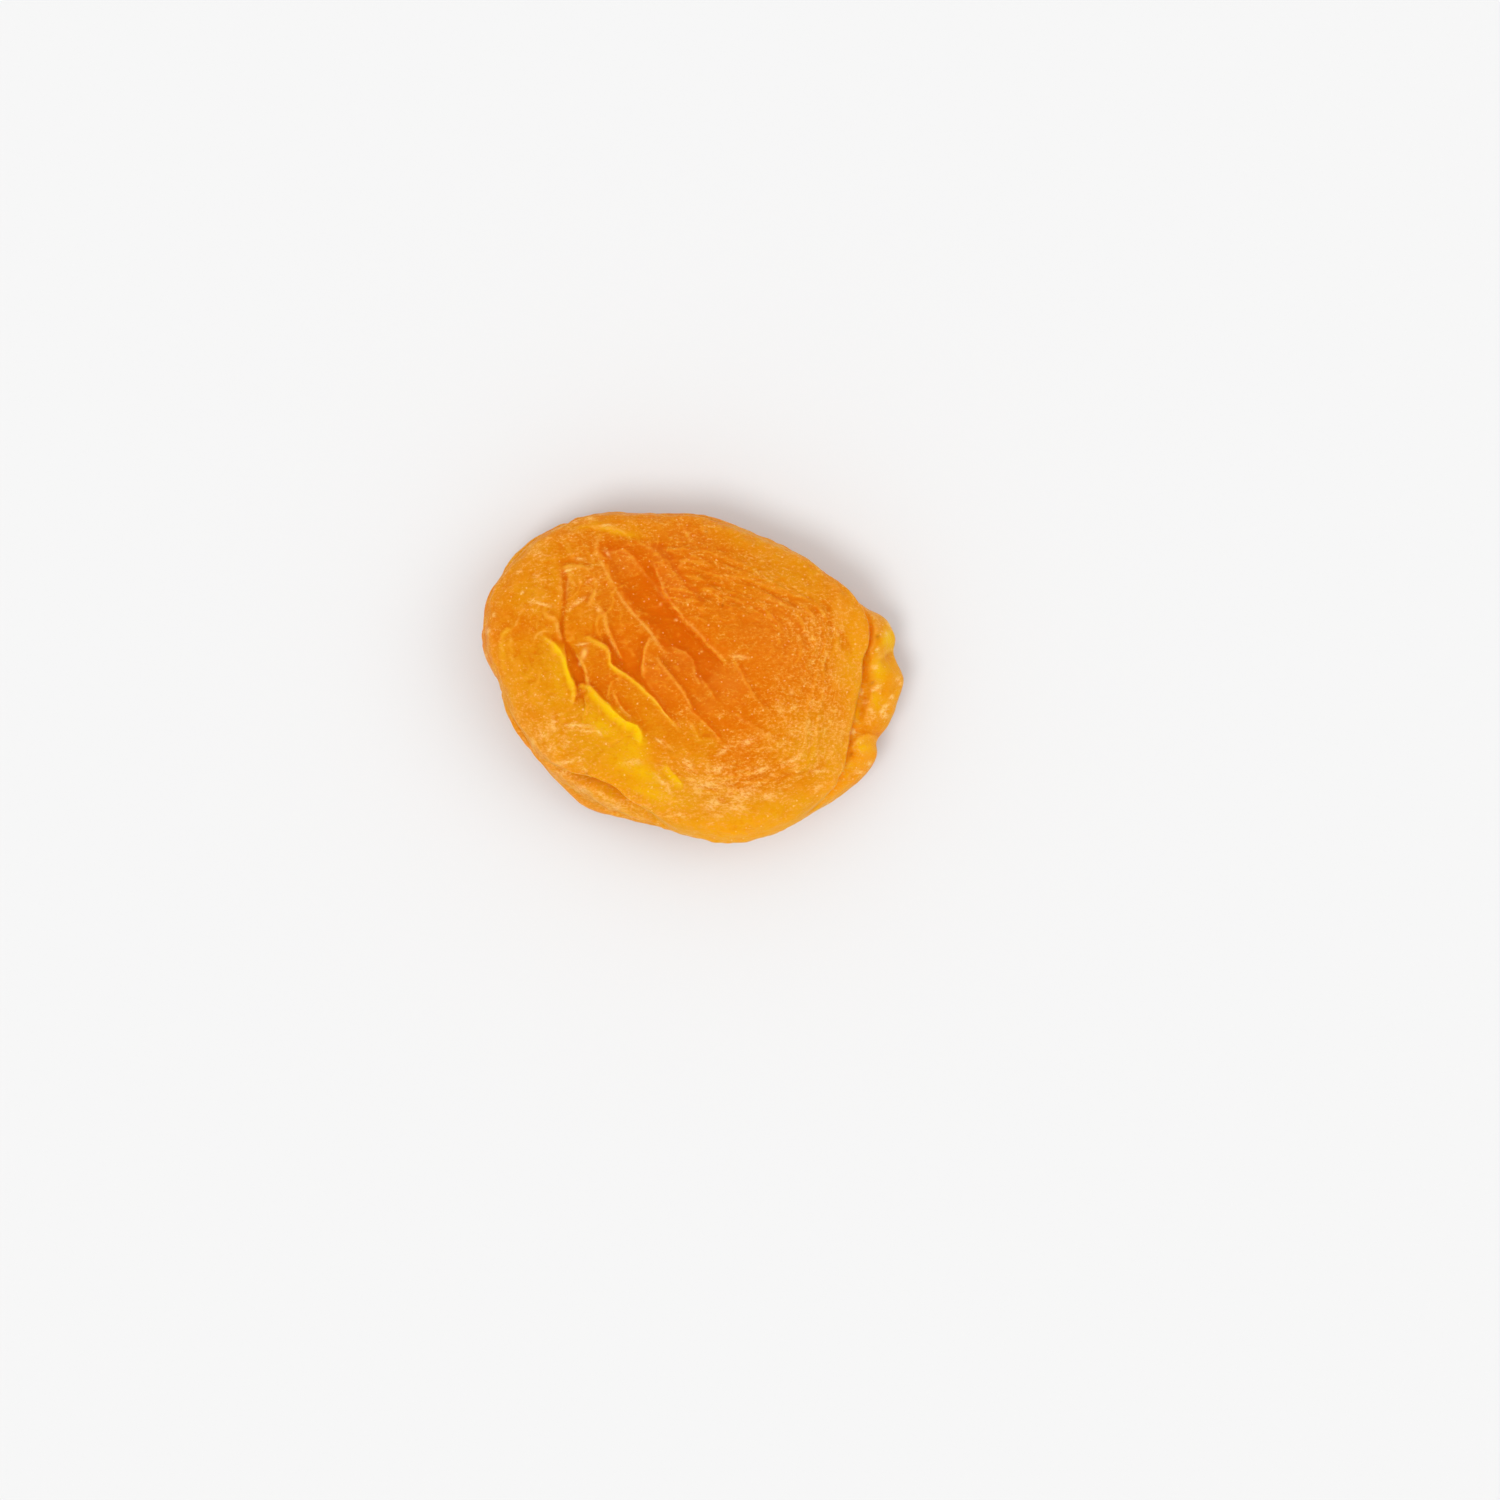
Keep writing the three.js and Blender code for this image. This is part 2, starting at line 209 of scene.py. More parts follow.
# The thick yellow lip below the groove.
fold([(-157, 40), (-152, 38.5), (-147, 35), (-141, 31), (-135, 24), (-131, 15), (-129, 7), (-126, -2),
     (-123, -9), (-121.5, -18), (-123, -26), (-127, -33)], 5, 4, edge=2.6, near=15, far=11, ends=16, crest_highlight=5,
     glow=5, lip=3, shade=8)
# The thin sheet on the far side of the pocket beside it.
fold([(-102, -18), (-106, -12), (-108.5, -4), (-110, 4), (-113, 12), (-117, 18), (-123, 22)], 2.5, 2, near=9,
     far=7, ends=6, crest_highlight=7, shade=5)
# The second thick lip, which runs down to the lower middle.
fold([(-123, -20), (-119, -14), (-114, -10.5), (-109, -11), (-105, -13), (-100, -18), (-96, -23), (-91, -28),
     (-86, -32), (-80, -38), (-74, -43), (-69, -47), (-63, -49), (-58, -51), (-55, -56), (-53.5, -61),
     (-55, -68), (-55, -76)], 5.5, 3.5, edge=2.8, near=16, far=10, ends=24, crest_highlight=4, glow=5, lip=3.5, shade=6)
fold([(-126, -21), (-121, -20), (-116, -18), (-111, -15), (-107, -15)], 1, 1, near=6, far=5, ends=5, crest_highlight=4,
     shade=2)
fold([(-82, -16), (-80, -22), (-76, -29), (-72, -35), (-66, -40), (-61, -46)], 2, 2, edge=2.2, near=7, far=7,
     ends=7, crest_highlight=5, shade=4)
# The long lip between the two, from the groove to the middle.
fold([(-120, 35), (-113, 36.5), (-106, 37), (-100, 34), (-94, 31), (-88, 27), (-85, 22), (-85, 16), (-85, 12),
     (-82, 9), (-76, 5), (-68, 0), (-62, -5), (-56, -10), (-49, -17), (-42, -23), (-36, -30), (-30, -38),
     (-24, -45), (-18, -52), (-11, -61)], 3.5, 3.8, edge=2.6, near=13, far=9, ends=35, crest_highlight=6, glow=4, lip=2.5,
     shade=8)
# A ridge that comes down between the lip and the long fold.
fold([(-99, 73), (-94, 67), (-90, 60), (-89, 52), (-86, 43), (-82, 34), (-79, 27), (-75, 19), (-72, 12)], 2.2,
     1.2, edge=2.2, ends=9, crest_highlight=7.5, shade=3.5)
fold([(-94, 44), (-89, 36), (-85, 30), (-80, 22), (-76, 14), (-70, 6)], crease=2.5, edge=3, shade=5)
# The tongue beside the long fold, and the pocket next to it.
fold([(-50, -2), (-52, 8), (-51, 16), (-50, 25), (-46, 34), (-42, 41)], 2.8, 3.5, edge=2.5, near=12, ends=8,
     crest_highlight=4.5, shade=6)
fold([(-26, -38), (-31, -29), (-37, -21), (-43, -13), (-49, -4), (-53, 4)], 1.2, 1, edge=3, near=12, far=6,
     ends=9, crest_highlight=1, shade=3)
# Low lobes in the middle.
fold([(-26, 29), (-18, 27), (-8, 23), (-1, 15), (0, 8), (1, 0), (5, -8), (10, -14)], 2, 2, edge=3, near=12,
     far=9, crest_highlight=3.5, shade=5.5)
fold([(3, 4), (7, -2), (11, -9), (16, -16), (20, -23), (25, -30)], 1.6, 1.8, edge=3, near=10, crest_highlight=3, shade=5)
fold([(36, 18), (42, 10), (48, 1), (52, -8), (58, -18), (64, -26), (70, -33), (78, -40)], 1.6, 1.8, edge=2.8,
     near=12, far=10, ends=12, crest_highlight=3, shade=5)
fold([(-8, -33), (1, -40), (10, -48), (19, -57), (24, -64), (30, -72)], 1.8, 1.8, edge=3, near=10, crest_highlight=3.5,
     shade=5)
fold([(-10, -44), (-3, -49), (1, -56), (4, -63), (9, -71)], 1.4, 1.5, edge=2.5, far=7, ends=8, crest_highlight=3.5,
     shade=4)
fold([(34, -36), (42, -40), (50, -46), (60, -51), (70, -58), (80, -66), (92, -72)], 0.8, 1, edge=2.5, ends=14,
     crest_highlight=3.5, shade=2.5)
# The edge fold along the upper left, and the lines of the left-hand end.
fold([(-64, 140), (-72, 146), (-80, 149), (-90, 151), (-100, 150), (-110, 153), (-120, 154), (-127, 151),
     (-134, 147)], 2, 2.5, edge=2.5, far=10, ends=9, crest_highlight=7, shade=1.5)
fold([(-112, 123), (-126, 122), (-138, 119), (-150, 117), (-164, 116)], 1.2, 1, edge=3, shade=3)
fold([(-173, 72), (-174, 66), (-177, 60), (-179, 54), (-183, 47)], 1.2, edge=2.2, near=6, ends=6, crest_highlight=5)
fold([(-188, -10), (-193, 2), (-195, 10), (-196.5, 22), (-196.5, 32), (-195, 42), (-190, 47), (-182, 48)],
     2.8, 2, edge=2.5, near=7, ends=9, crest_highlight=5, glow=2, shade=4.5)
fold([(-184, 46), (-186, 34), (-186, 22), (-184, 10)], 1, edge=2.5, near=5, ends=9, crest_highlight=4, glow=1, lip=5)
# Wrinkles that follow the right-hand end.
fold([(82, -102), (92, -101), (110, -99), (126, -95), (136, -87)], 0.6, crease=1.2, near=5, shade=4.5)
fold([(66, -93), (75, -92), (90, -91), (108, -92)], 0.5, crease=1, near=5, shade=3.5)
fold([(50, -129), (62, -128), (73, -127), (83, -124), (94, -124)], 0.6, crease=1, near=5, shade=3.5)
fold([(0, -122), (10, -123), (20, -124), (34, -129), (45, -133)], 0.6, crease=1.2, edge=2.2, near=6, shade=4)
fold([(38, -40), (46, -44), (54, -48), (64, -50)], 0.5, crease=1, near=5, ends=8, shade=4)
fold([(6, -61), (16, -62), (29, -60)], 0.5, crease=1, near=5, ends=7, shade=3.5)
fold([(132, -66), (142, -54), (148, -40), (152, -24)], 0.8, crease=1, near=6, shade=3)
fold([(124, 78), (108, 80), (87, 83), (69, 92), (54, 99)], 1, 1.4, edge=2.5, near=9, far=9, ends=14, crest_highlight=1,
     shade=4.5)
fold([(64, 79), (77, 76), (96, 69), (118, 63), (130, 52)], 1, 0.8, edge=2.5, near=9, far=9, ends=14, crest_highlight=4,
     shade=2)
fold([(162, -20), (167, -4), (165, 16), (161, 33), (153, 45), (138, 57), (128, 67), (116, 78)], 1.2, 1.2,
     edge=2.8, near=9, far=9, ends=16, crest_highlight=1.5, shade=5)
fold([(16, -104), (42, -113), (66, -117), (86, -116), (106, -112), (122, -102)], 1, crease=1.4, edge=2.5,
     ends=14, shade=3)
fold([(-31, -89), (-26, -95), (-20, -102), (-14, -109), (-11, -116)], 1.4, 1, edge=2.2, far=6, ends=7, glow=5)
# The lobes of the torn end.
fold([(160, -76), (163, -69), (169, -64), (176, -61), (183, -62.5), (188, -68)], 3.5, 4, edge=2.5, near=12,
     ends=4, crest_highlight=4, shade=6)
fold([(205, 27.5), (199, 26.5), (194, 23.5), (190, 19), (186, 18)], 3.5, 3, edge=2.2, near=10, far=7, ends=4,
     crest_highlight=9, shade=5)
fold([(173, -49), (176, -36), (180, -26), (183, -14), (181, -2), (180, 8), (182, 17), (180, 26), (183, 34),
     (185, 46), (182, 58)], 3, 3.5, edge=3, far=6, ends=8, crest_highlight=3.5, shade=5)
fold([(189, -42), (192, -36), (196, -30), (200, -23)], 1.6, edge=2.5, near=5, ends=5, crest_highlight=8)
# Pale strokes of painted highlight below the two thick lips.
fold([(-132, -49), (-124, -49.5), (-114, -50.5), (-105, -53), (-97, -57), (-92, -61)], 0.8, near=4, ends=8,
     crest_highlight=8)
fold([(-126, -57), (-118, -54), (-110, -56), (-104, -59), (-100, -63)], 0.6, near=4, ends=8, crest_highlight=6)
fold([(-146, -42), (-144, -48), (-143, -54), (-140, -62)], 0.8, edge=2.5, near=4, ends=7, crest_highlight=7)
fold([(-42, -102), (-36, -106), (-30, -110), (-25, -115)], 0.5, near=4, ends=6, crest_highlight=8)
fold([(-34, -64), (-29, -67), (-25, -72), (-20, -76)], 0.5, near=4, ends=6, crest_highlight=8)

# Broad swells and hollows of the top: centre, half-widths, turn in degrees and height.
SWELLS = [
    (-26, 44, 90, 24, -48, -7.5), (-116, 10, 24, 50, 10, -4), (-145, 85, 40, 40, 0, 3.5),
    (90, 10, 60, 70, 0, 5), (-85, -65, 50, 24, -40, 4), (30, -80, 60, 16, -20, -3.5),
    (30, 120, 50, 20, -20, 2.5),
]

# Creases round the side: points by angle in degrees and height, depth and half-width.
SIDE_CREASES = [
    ([(52, 54), (66, 50), (80, 55), (96, 51), (112, 58), (126, 54)], 7.5, 5),
    ([(120, 68), (133, 62), (146, 64), (160, 56), (172, 59)], 7, 5),
    ([(166, 44), (180, 49), (193, 42), (205, 46)], 6, 4.5),
    ([(188, 69), (198, 60), (208, 56), (214, 49)], 4.5, 4),
    ([(78, 74), (88, 68), (97, 71), (104, 66)], 4, 3.5), ([(148, 76), (154, 70), (163, 72)], 3.5, 3.5),
    ([(60, 36), (74, 32), (90, 39), (104, 33)], 5.5, 5), ([(112, 42), (124, 34), (140, 38)], 5, 4.5),
    ([(142, 44), (150, 34), (156, 26)], 4, 4), ([(36, 46), (44, 38), (52, 39)], 3.5, 4),
    ([(215, 39), (228, 33), (243, 38), (256, 32)], 5.5, 5), ([(232, 54), (246, 48), (262, 50)], 3.5, 4),
    ([(262, 40), (276, 45), (290, 38), (304, 42)], 5, 4.5), ([(300, 30), (315, 35), (330, 29)], 4.5, 4.5),
    ([(268, 59), (280, 54), (292, 57)], 2.5, 3.5), ([(335, 36), (350, 30), (359, 32)], 3, 4),
    ([(84, 56), (88, 46), (93, 38)], 3.5, 3.5), ([(133, 63), (129, 54), (131, 46)], 3.5, 3.5),
    ([(182, 50), (186, 60), (184, 68)], 3, 3.5), ([(276, 45), (272, 36), (277, 28)], 3, 3.5),
]

# Zones of the top by colour: centre, half-widths, turn in degrees and strength.
YELLOW_ZONES = [
    (-95, -75, 80, 50, -38, 10), (-155, 0, 60, 80, -20, 7), (-40, -120, 90, 36, -14, 10),
    (60, -150, 130, 34, 8, 11), (-160, 90, 60, 75, 30, 6), (-80, 150, 60, 16, 0, 5),
    (90, 110, 80, 35, -32, 5.5), (-80, -46, 35, 16, -40, 8), (165, 10, 26, 90, 8, 8),
    (-105, 85, 30, 50, 20, 4), (130, -80, 50, 50, 0, 8), (-40, -50, 60, 25, -50, 5.5), (205, 0, 36, 90, 0, 8),
    (-20, -85, 50, 30, -10, 6), (8, -64, 26, 14, -35, 6.5),
]
# Deeper colour with painted shade, in the valleys, grooves, pockets and notches.
DEEP_SHADE_ZONES = [
    (-136, 125, 9, 2.5, 10, 5), (-120, 115.5, 7, 2, -5, 5.5), (-132, 143.5, 6, 1.4, 15, 4),
    (-114, 150, 13, 2.2, -8, 4.5), (-122, 142, 8, 1.4, 8, 3.5), (-178, 122, 26, 3, 48, 3.5),
    (-150, 89, 9, 3, 20, 3), (-104, 92, 3, 7, 10, 4), (-47, 66, 42, 15, -50, 7.5), (-5, 36, 30, 15, -38, 8.5),
    (-46, 109, 12, 8, -50, 9), (-118, 6, 6, 15, 10, 8), (-108, 44, 16, 7, -15, 4.5),
    (15, -5, 60, 26, -45, 2.5), (-26, 124, 16, 22, 40, 3), (175, 3, 4, 16, 0, 6), (196, -10, 10, 16, 0, 4),
    (176, 59, 5, 10, -30, 4), (182, 39, 3, 6, 0, 5), (174, -22, 5, 8, 0, 5), (160, -79, 3, 6, 30, 6),
]
# Pale skin and painted sheen, where the velvet grows denser; those below zero thin it.
PALE_AND_SHEEN_ZONES = [
    (22, -126, 24, 20, 0, 9), (52, -120, 16, 12, 0, 10), (146, -50, 14, 32, 0, 9), (45, -75, 55, 22, -10, 5),
    (18, -96, 22, 8, 0, 7), (-80, 40, 90, 90, 0, -5), (40, 30, 70, 80, -40, -6), (-93, 137, 3, 4, 20, 10),
    (120, -60, 60, 55, 60, 8), (35, -108, 80, 30, 8, 8.5), (-115, -54, 26, 9, -10, 8),
    (-140, -55, 30, 45, 40, 6), (-134, -98, 55, 20, -38, 5), (-75, -134, 40, 10, -16, 8),
    (-96, -66, 16, 12, -30, 4), (-14, -44, 24, 9, -50, 3.5), (46, 18, 10, 5, 0, 9), (140, 30, 35, 60, 20, 7),
    (95, 100, 70, 30, -35, 4), (83, -30, 12, 8, 0, 8), (-80, 140, 80, 20, 5, 3), (6, -114, 16, 12, 0, 9),
    (181, -45, 13, 6, 15, 10), (196, -33, 4, 9, -25, 14), (208, -15, 4, 18, 10, 9), (170, -66, 8, 5, 0, 9),
    (174, -80, 7, 13, 0, 6), (188, 60, 12, 7, -40, 8), (199, 50, 4, 8, 25, 6), (192, 14, 12, 9, 0, 8),
    (164, -59, 5, 4, 0, 10), (196, -4, 16, 36, 0, -9), (-130, 110, 50, 40, 0, 4), (-74, 119, 12, 9, -40, 3.5),
    (-20, 96, 10, 20, 35, 3),
]

# Short strokes where the skin is worn pale, with painted glints on the torn end and painted highlights below
# the thick lips: centre, half-length, half-width, turn and strength.
STROKES_AND_GLINTS = [
    (-160, 124.5, 6, 3, -30, 8), (-155, 121.5, 5, 1.2, 0, 8), (-178, 105.5, 2.5, 1.5, 20, 10),
    (-159, 102, 4, 1.2, 20, 8), (-128, 106, 3.5, 1.3, 15, 11), (-116, 118, 4, 1.2, -10, 8),
    (-174, 84, 2.5, 1.2, 20, 8), (-163, 75, 3.5, 1.4, 50, 10), (-154, 72, 8, 1.3, -8, 10),
    (-106, 95.5, 3.5, 1.2, 35, 10), (-116, 75, 6, 1.6, 30, 9), (-125, 68, 5, 1.4, 40, 8),
    (-205, 62, 2.5, 1.6, 40, 9), (-210, 45, 3, 2.5, 0, 8), (-105, 158, 5, 1.3, 5, 10),
    (-121, 155, 3, 1.3, 10, 10), (-89, 152, 5, 1.4, 10, 10), (-88, 124, 4, 1.3, -60, 7),
    (-113, 31.5, 4.5, 1.2, 5, 10), (-97, 67, 3.5, 1.5, -60, 8), (-143, -50, 1.6, 7.5, 5, 9),
    (-154, -59, 5, 5, 30, 8), (-121, -51, 11, 1.7, -3, 9), (-109, -56.5, 8, 1.5, -5, 9),
    (-97, -57.5, 4, 1.6, -50, 10), (-130, -69, 4, 2, -50, 9), (-145, -74, 6, 1.6, 30, 9),
    (-130, -88, 9, 1.6, 12, 9), (-115, -86, 3.5, 2, 0, 10), (-112, -96, 4, 1.4, -25, 9),
    (-135, -99, 6, 2.5, 10, 9), (-115, -116, 5.5, 3, 0, 10), (-93, -121, 8, 1.4, -30, 10),
    (-79, -133, 3, 1.4, 20, 10), (-68, -127, 4, 1.2, 30, 9), (-35, -67, 5, 1.3, -35, 9),
    (-62, -88, 8, 3, 5, 7), (-32, -108, 9, 1.5, -45, 10), (-26, -116, 4, 1.7, -50, 10),
    (-14, -142, 6, 1.5, -30, 8), (14, -112, 14, 4, 0, 8), (50, -121, 10, 4, 30, 9), (75, -123, 9, 2.5, 8, 9),
    (19, -131, 8, 4, 20, 10), (43, -134, 9, 3, -10, 10), (22, -144, 9, 2, 5, 5), (68, -96, 7, 2, 20, 8),
    (22, -95, 8, 2, 12, 9), (-6, -90, 5, 3, -50, 9), (30, -76, 6, 2, 40, 8), (54, -67, 6, 2.5, 20, 8),
    (124, -113, 2.5, 3.5, -10, 10), (128, -97, 9, 1.6, 8, 9), (102, -84, 8, 2, 30, 8),
    (187.5, -11.5, 2.5, 2, 20, 18), (183, -14, 2.5, 1.6, 10, 14), (169.5, -17, 2, 2, 0, 18),
    (202, -21.5, 2, 1.8, 0, 16), (195.5, -31, 3.5, 1.8, 40, 15), (192, -36, 3, 1.8, 60, 15),
    (194.5, -41, 3, 1.8, 0, 15), (176, -26.5, 2.5, 1.6, 25, 14), (162, -57.5, 2, 1.8, 20, 18),
    (208.5, -3.5, 2, 1.8, 0, 15), (211.5, -7, 1.8, 2, 0, 14), (179, -89.5, 2, 2, 0, 15),
    (169, -98.5, 4, 1.6, -5, 15), (184, 9, 3, 1.8, 0, 12), (186, 26.5, 2, 1.8, 0, 12),
    (196, 43, 2, 1.8, 0, 13), (200, 53, 1.8, 3.5, 40, 14), (181, -36, 3.5, 2, -30, 12),
]

# The brightest stretches of the thick lips, as zones.
GLOW_ZONES = [
    (-77, -43.5, 19, 5.5, -36, 8), (-127.5, -1, 3.5, 18, 12, 4), (-57, -60, 5, 13, 20, 5),
    (-101, -22, 9, 4, -42, 4), (-60, -96, 24, 10, -30, 3.5), (-53, -98, 14, 5, -22, 4),
    (-40, -122, 22, 6, -20, 5.5), (-24, -126, 10, 3, -16, 4), (-24, -103, 3.5, 11, 30, 3),
    (-92, -52, 22, 9, -38, 3), (-62, -76, 12, 18, 20, 2.5), (-136, -10, 9, 22, 8, 2), (189, 6, 7, 16, 5, 3),
    (186, -26, 6, 9, 0, 3.5), (170, -66, 7, 5, 20, 3), (-138, 27, 5, 5, -40, 5), (-78, 5, 9, 3, -35, 4),
    (-84, 147.5, 20, 2.8, -14, 4.5), (199, 37, 7, 11, 0, 5), (165.5, -40, 3, 7, 0, 6),
    (174, -73, 8, 5, 0, 3.5), (155, -94, 4, 10, -30, 4), (-114, 152, 16, 3, 4, 5), (-195, 24, 2, 18, 4, 1),
    (-34, -134, 10, 3.5, -18, 4),
]

# The waxy yellow edges: the torn stem end, and the band along the lower edge.
WAX_ZONES = [
    (210, 0, 34, 90, 0, 3.5), (184, -80, 24, 34, -30, 6), (60, -166, 110, 22, 7, 5),
    (150, -126, 40, 20, 40, 5), (166, 40, 16, 40, 0, 2.5), (-60, -94, 30, 18, -42, 2.5),
    (164, -40, 12, 50, 8, 2.5), (100, 136, 80, 24, -30, 1.5),
]

# The smooth lobes of the middle, which have a rosy tinge.
BLUSH_ZONES = [
    (-72, 116, 14, 10, -40, 8), (-22, 96, 10, 22, 35, 9), (-36, 126, 14, 8, -25, 6),
    (-14, 16, 16, 12, -40, 8), (16, 0, 22, 12, -50, 8), (36, -10, 16, 16, -50, 7), (-40, 2, 12, 24, 35, 5),
    (12, -30, 12, 8, -40, 6), (90, 40, 50, 40, 0, 3.5), (-12, 144, 30, 10, -15, 5),
    (-100, 90, 16, 30, 30, 3.5), (-206, 60, 8, 40, -8, 5),
]

# Small lumps: centre, half-widths, turn, height and how pale they are painted, as a painted glint. Specks:
# centre and radius.
LUMPS = [
    (-111, 22, 2.4, 5, -20, 3, 10), (-116, 11.5, 1.6, 1.6, 0, 0.8, 10), (-163.5, -67, 2, 3.5, 0, 0.8, 9),
    (-213, 20.5, 1.4, 1.4, 0, 0.5, 9), (7.5, 24, 1.4, 1, 0, 0.4, 8), (-18.5, 56, 1.4, 1.2, 0, 0.4, 8),
    (-34, 72, 1.2, 1.6, 0, 0.4, 7), (44, 19, 5, 1.4, 0, 0.3, 7), (51, 17.5, 4, 1.2, 0, 0.3, 6),
    (99, -17.5, 2, 2.5, 0, 0.4, 6), (188, -11, 1.4, 1.4, 0, 0.5, 9), (189, -16, 1.2, 1.2, 0, 0.5, 8),
    (170, -17, 1.6, 1.2, 0, 0.5, 8), (162, -56, 1.6, 1.2, 0, 0.5, 9), (14, -112, 2, 1.4, 0, 0.4, 7),
]
SPECKS = [
    (182, -7, 1.5), (160, -80, 1.6), (-109, -100, 1.5), (12, 146, 1.3), (29, 70.5, 1.3), (187, 40, 2),
]

# How fast a zone fades from its middle.
ZONE_FALL = 0.9

# How far the creases of the side take to fade away at their ends, in mm.
CREASE_ENDS = 1.2

# The slant that the fine wrinkles of the middle follow.
SLANT_X = 0.616
SLANT_Y = 0.788


def smooth(t):
    u = np.clip(t, 0, 1)
    return u * u * (3 - 2 * u)


def beyond(value, start, width):
    """0 up to start, and then smoothly up to 1 over width."""
    return smooth((value - start) / width)


def close_to(value, middle, width, power=2):
    """1 at the middle, fading to 0 on both sides."""
    return np.exp(-(((value - middle) / width) ** power))


def around(angles, values):
    """A smooth closed curve of values by angle."""
    order = np.argsort(np.mod(angles, TURN))
    a = np.mod(angles, TURN)[order]
    v = np.asarray(values, float)[order]
    a = np.concatenate([a[-2:] - TURN, a, a[:3] + TURN])
    v = np.concatenate([v[-2:], v, v[:3]])
    slope = np.zeros(len(a))
    slope[1:-1] = (v[2:] - v[:-2]) / (a[2:] - a[:-2])

    turned = np.linspace(0, TURN, CURVE_STEPS, endpoint=False)
    i = np.clip(np.searchsorted(a, turned, side="right") - 1, 1, len(a) - 3)
    span = a[i + 1] - a[i]
    t = (turned - a[i]) / span
    curve = v[i] + (v[i + 1] - v[i]) * t * t * (3 - 2 * t)
    curve += slope[i] * t * (1 - t) ** 2 * span - slope[i + 1] * t * t * (1 - t) * span
    for _ in range(CURVE_ROUNDING):
        curve = 0.5 * curve + 0.25 * (np.roll(curve, 1) + np.roll(curve, -1))
    return lambda angle: np.interp(np.mod(angle, TURN), turned, curve, period=TURN)


def by_angle(points):
    x, y = np.array(points).T / TENTHS
    return around(np.arctan2(y, x), np.hypot(x, y))


upper_radius = by_angle(UPPER_LEAF)
lower_radius = by_angle(LOWER_LEAF)
seam_angles, *seam_columns = np.array(SEAM).T
seam_depth, seam_height, seam_closing = [around(np.radians(seam_angles), c / TENTHS) for c in seam_columns]


def noise(x, y, z, seed):
    """Smooth gradient noise from about -1 to 1, with features one unit across."""
    cell = [np.floor(c).astype(np.int64) for c in (x, y, z)]
    part = [c - f for c, f in zip((x, y, z), cell)]
    fade = [p * p * p * (p * (p * 6 - 15) + 10) for p in part]
    total = np.zeros(np.shape(x))
    for corner in range(8):
        step = [(corner >> k) & 1 for k in range(3)]
        key = sum((cell[k] + step[k]) * HASH_STEPS[k] for k in range(3))
        key = (key + seed * HASH_SEED) & HASH_BITS
        key = ((key ^ (key >> 13)) * HASH_STIR) & HASH_BITS
        key ^= key >> 16
        value = 0.0
        weight = 1.0
        for k in range(3):
            value = value + (((key >> (10 * k)) & 1023) / 511.5 - 1) * (part[k] - step[k])
            weight = weight * (fade[k] if step[k] else 1 - fade[k])
        total = total + value * weight
    return total * NOISE_GAIN


def fold_places(points, path):
    """Signed distance to a path, positive on its right, with the distances from its two ends along it."""
    near = np.full(len(points), np.inf)
    side = np.ones(len(points))
    along = np.zeros(len(points))
    length = 0.0
    for start, stop in zip(path[:-1], path[1:]):
        way = stop - start
        step = np.hypot(*way)
        off = points - start
        t = np.clip(off @ way / step**2, 0, 1)
        away = np.hypot(*(off - t[:, None] * way).T)
        closer = away < near
        near = np.where(closer, away, near)
        side = np.where(closer, np.sign(off[:, 0] * way[1] - off[:, 1] * way[0]), side)
        along = np.where(closer, length + t * step, along)
        length += step
    return near * np.where(side == 0, 1, side), along, length - along


def fold_relief(x, y):
    """Height of all the folds at points seen from above, and their colour masks: painted crest highlight,
    glow, painted shade.
    """
    points = np.stack([x, y], 1)
    height, crest_highlights, glows, shades = np.zeros((4, len(x)))
    for path, rise, drop, crease, edge, near, far, ends, crest_highlight, glow, lip, shade in FOLDS:
        d, begun, left = fold_places(points, path)
        fade = smooth(begun / ends) * smooth(left / ends)
        high = d > 0
        away = np.abs(d)
        fall = close_to(away, 0, FOLD_WIDTH * edge)
        low_height = (rise + drop) * fall - drop * np.exp(-away / far)
        height += fade * np.where(high, rise * np.exp(-away / near), low_height)
        height -= fade * crease * fall
        # Painted highlight along the crest.
        crest_highlights += fade * crest_highlight * close_to(d, CREST_HIGHLIGHT_PLACE, CREST_HIGHLIGHT_WIDTH)
        glows += fade * glow * close_to(away, 0, np.where(high, lip, GLOW_DOWN))
        low_side = smooth(away / SHADE_START) * np.exp(-away / (SHADE_REACH * far))
        shades += fade * shade * (fall if crease else np.where(high, 0, low_side))
    return FOLD_HEIGHT * height, crest_highlights, glows, shades


def zone(x, y, zones):
    """How strongly each point lies in a list of soft oval zones."""
    total = np.zeros(len(x))
    for *oval, turn, amount in zones:
        middle_x, middle_y, half_x, half_y = np.array(oval) / TENTHS
        c, s = math.cos(math.radians(turn)), math.sin(math.radians(turn))
        u = ((x - middle_x) * c + (y - middle_y) * s) / half_x
        v = ((y - middle_y) * c - (x - middle_x) * s) / half_y
        strength = amount / TENTHS * np.exp(-ZONE_FALL * (u * u + v * v))
        total = np.where(amount > 0, np.maximum(total, strength), total + strength)
    return total


def at(angle, radius, height):
    """Points on the upright plane at each angle round the middle."""
    return np.stack([radius * np.cos(angle), radius * np.sin(angle), height + 0 * angle], -1)


def top_points(angle, reach):
    """The domed top without its folds, where reach runs from 0 in the middle to 1 at the shoulder."""
    height = SHOULDER_HEIGHT + (DOME_HEIGHT - SHOULDER_HEIGHT) * (1 - reach**2)
    return at(angle, reach * (upper_radius(angle) - SHOULDER_INSET), height)


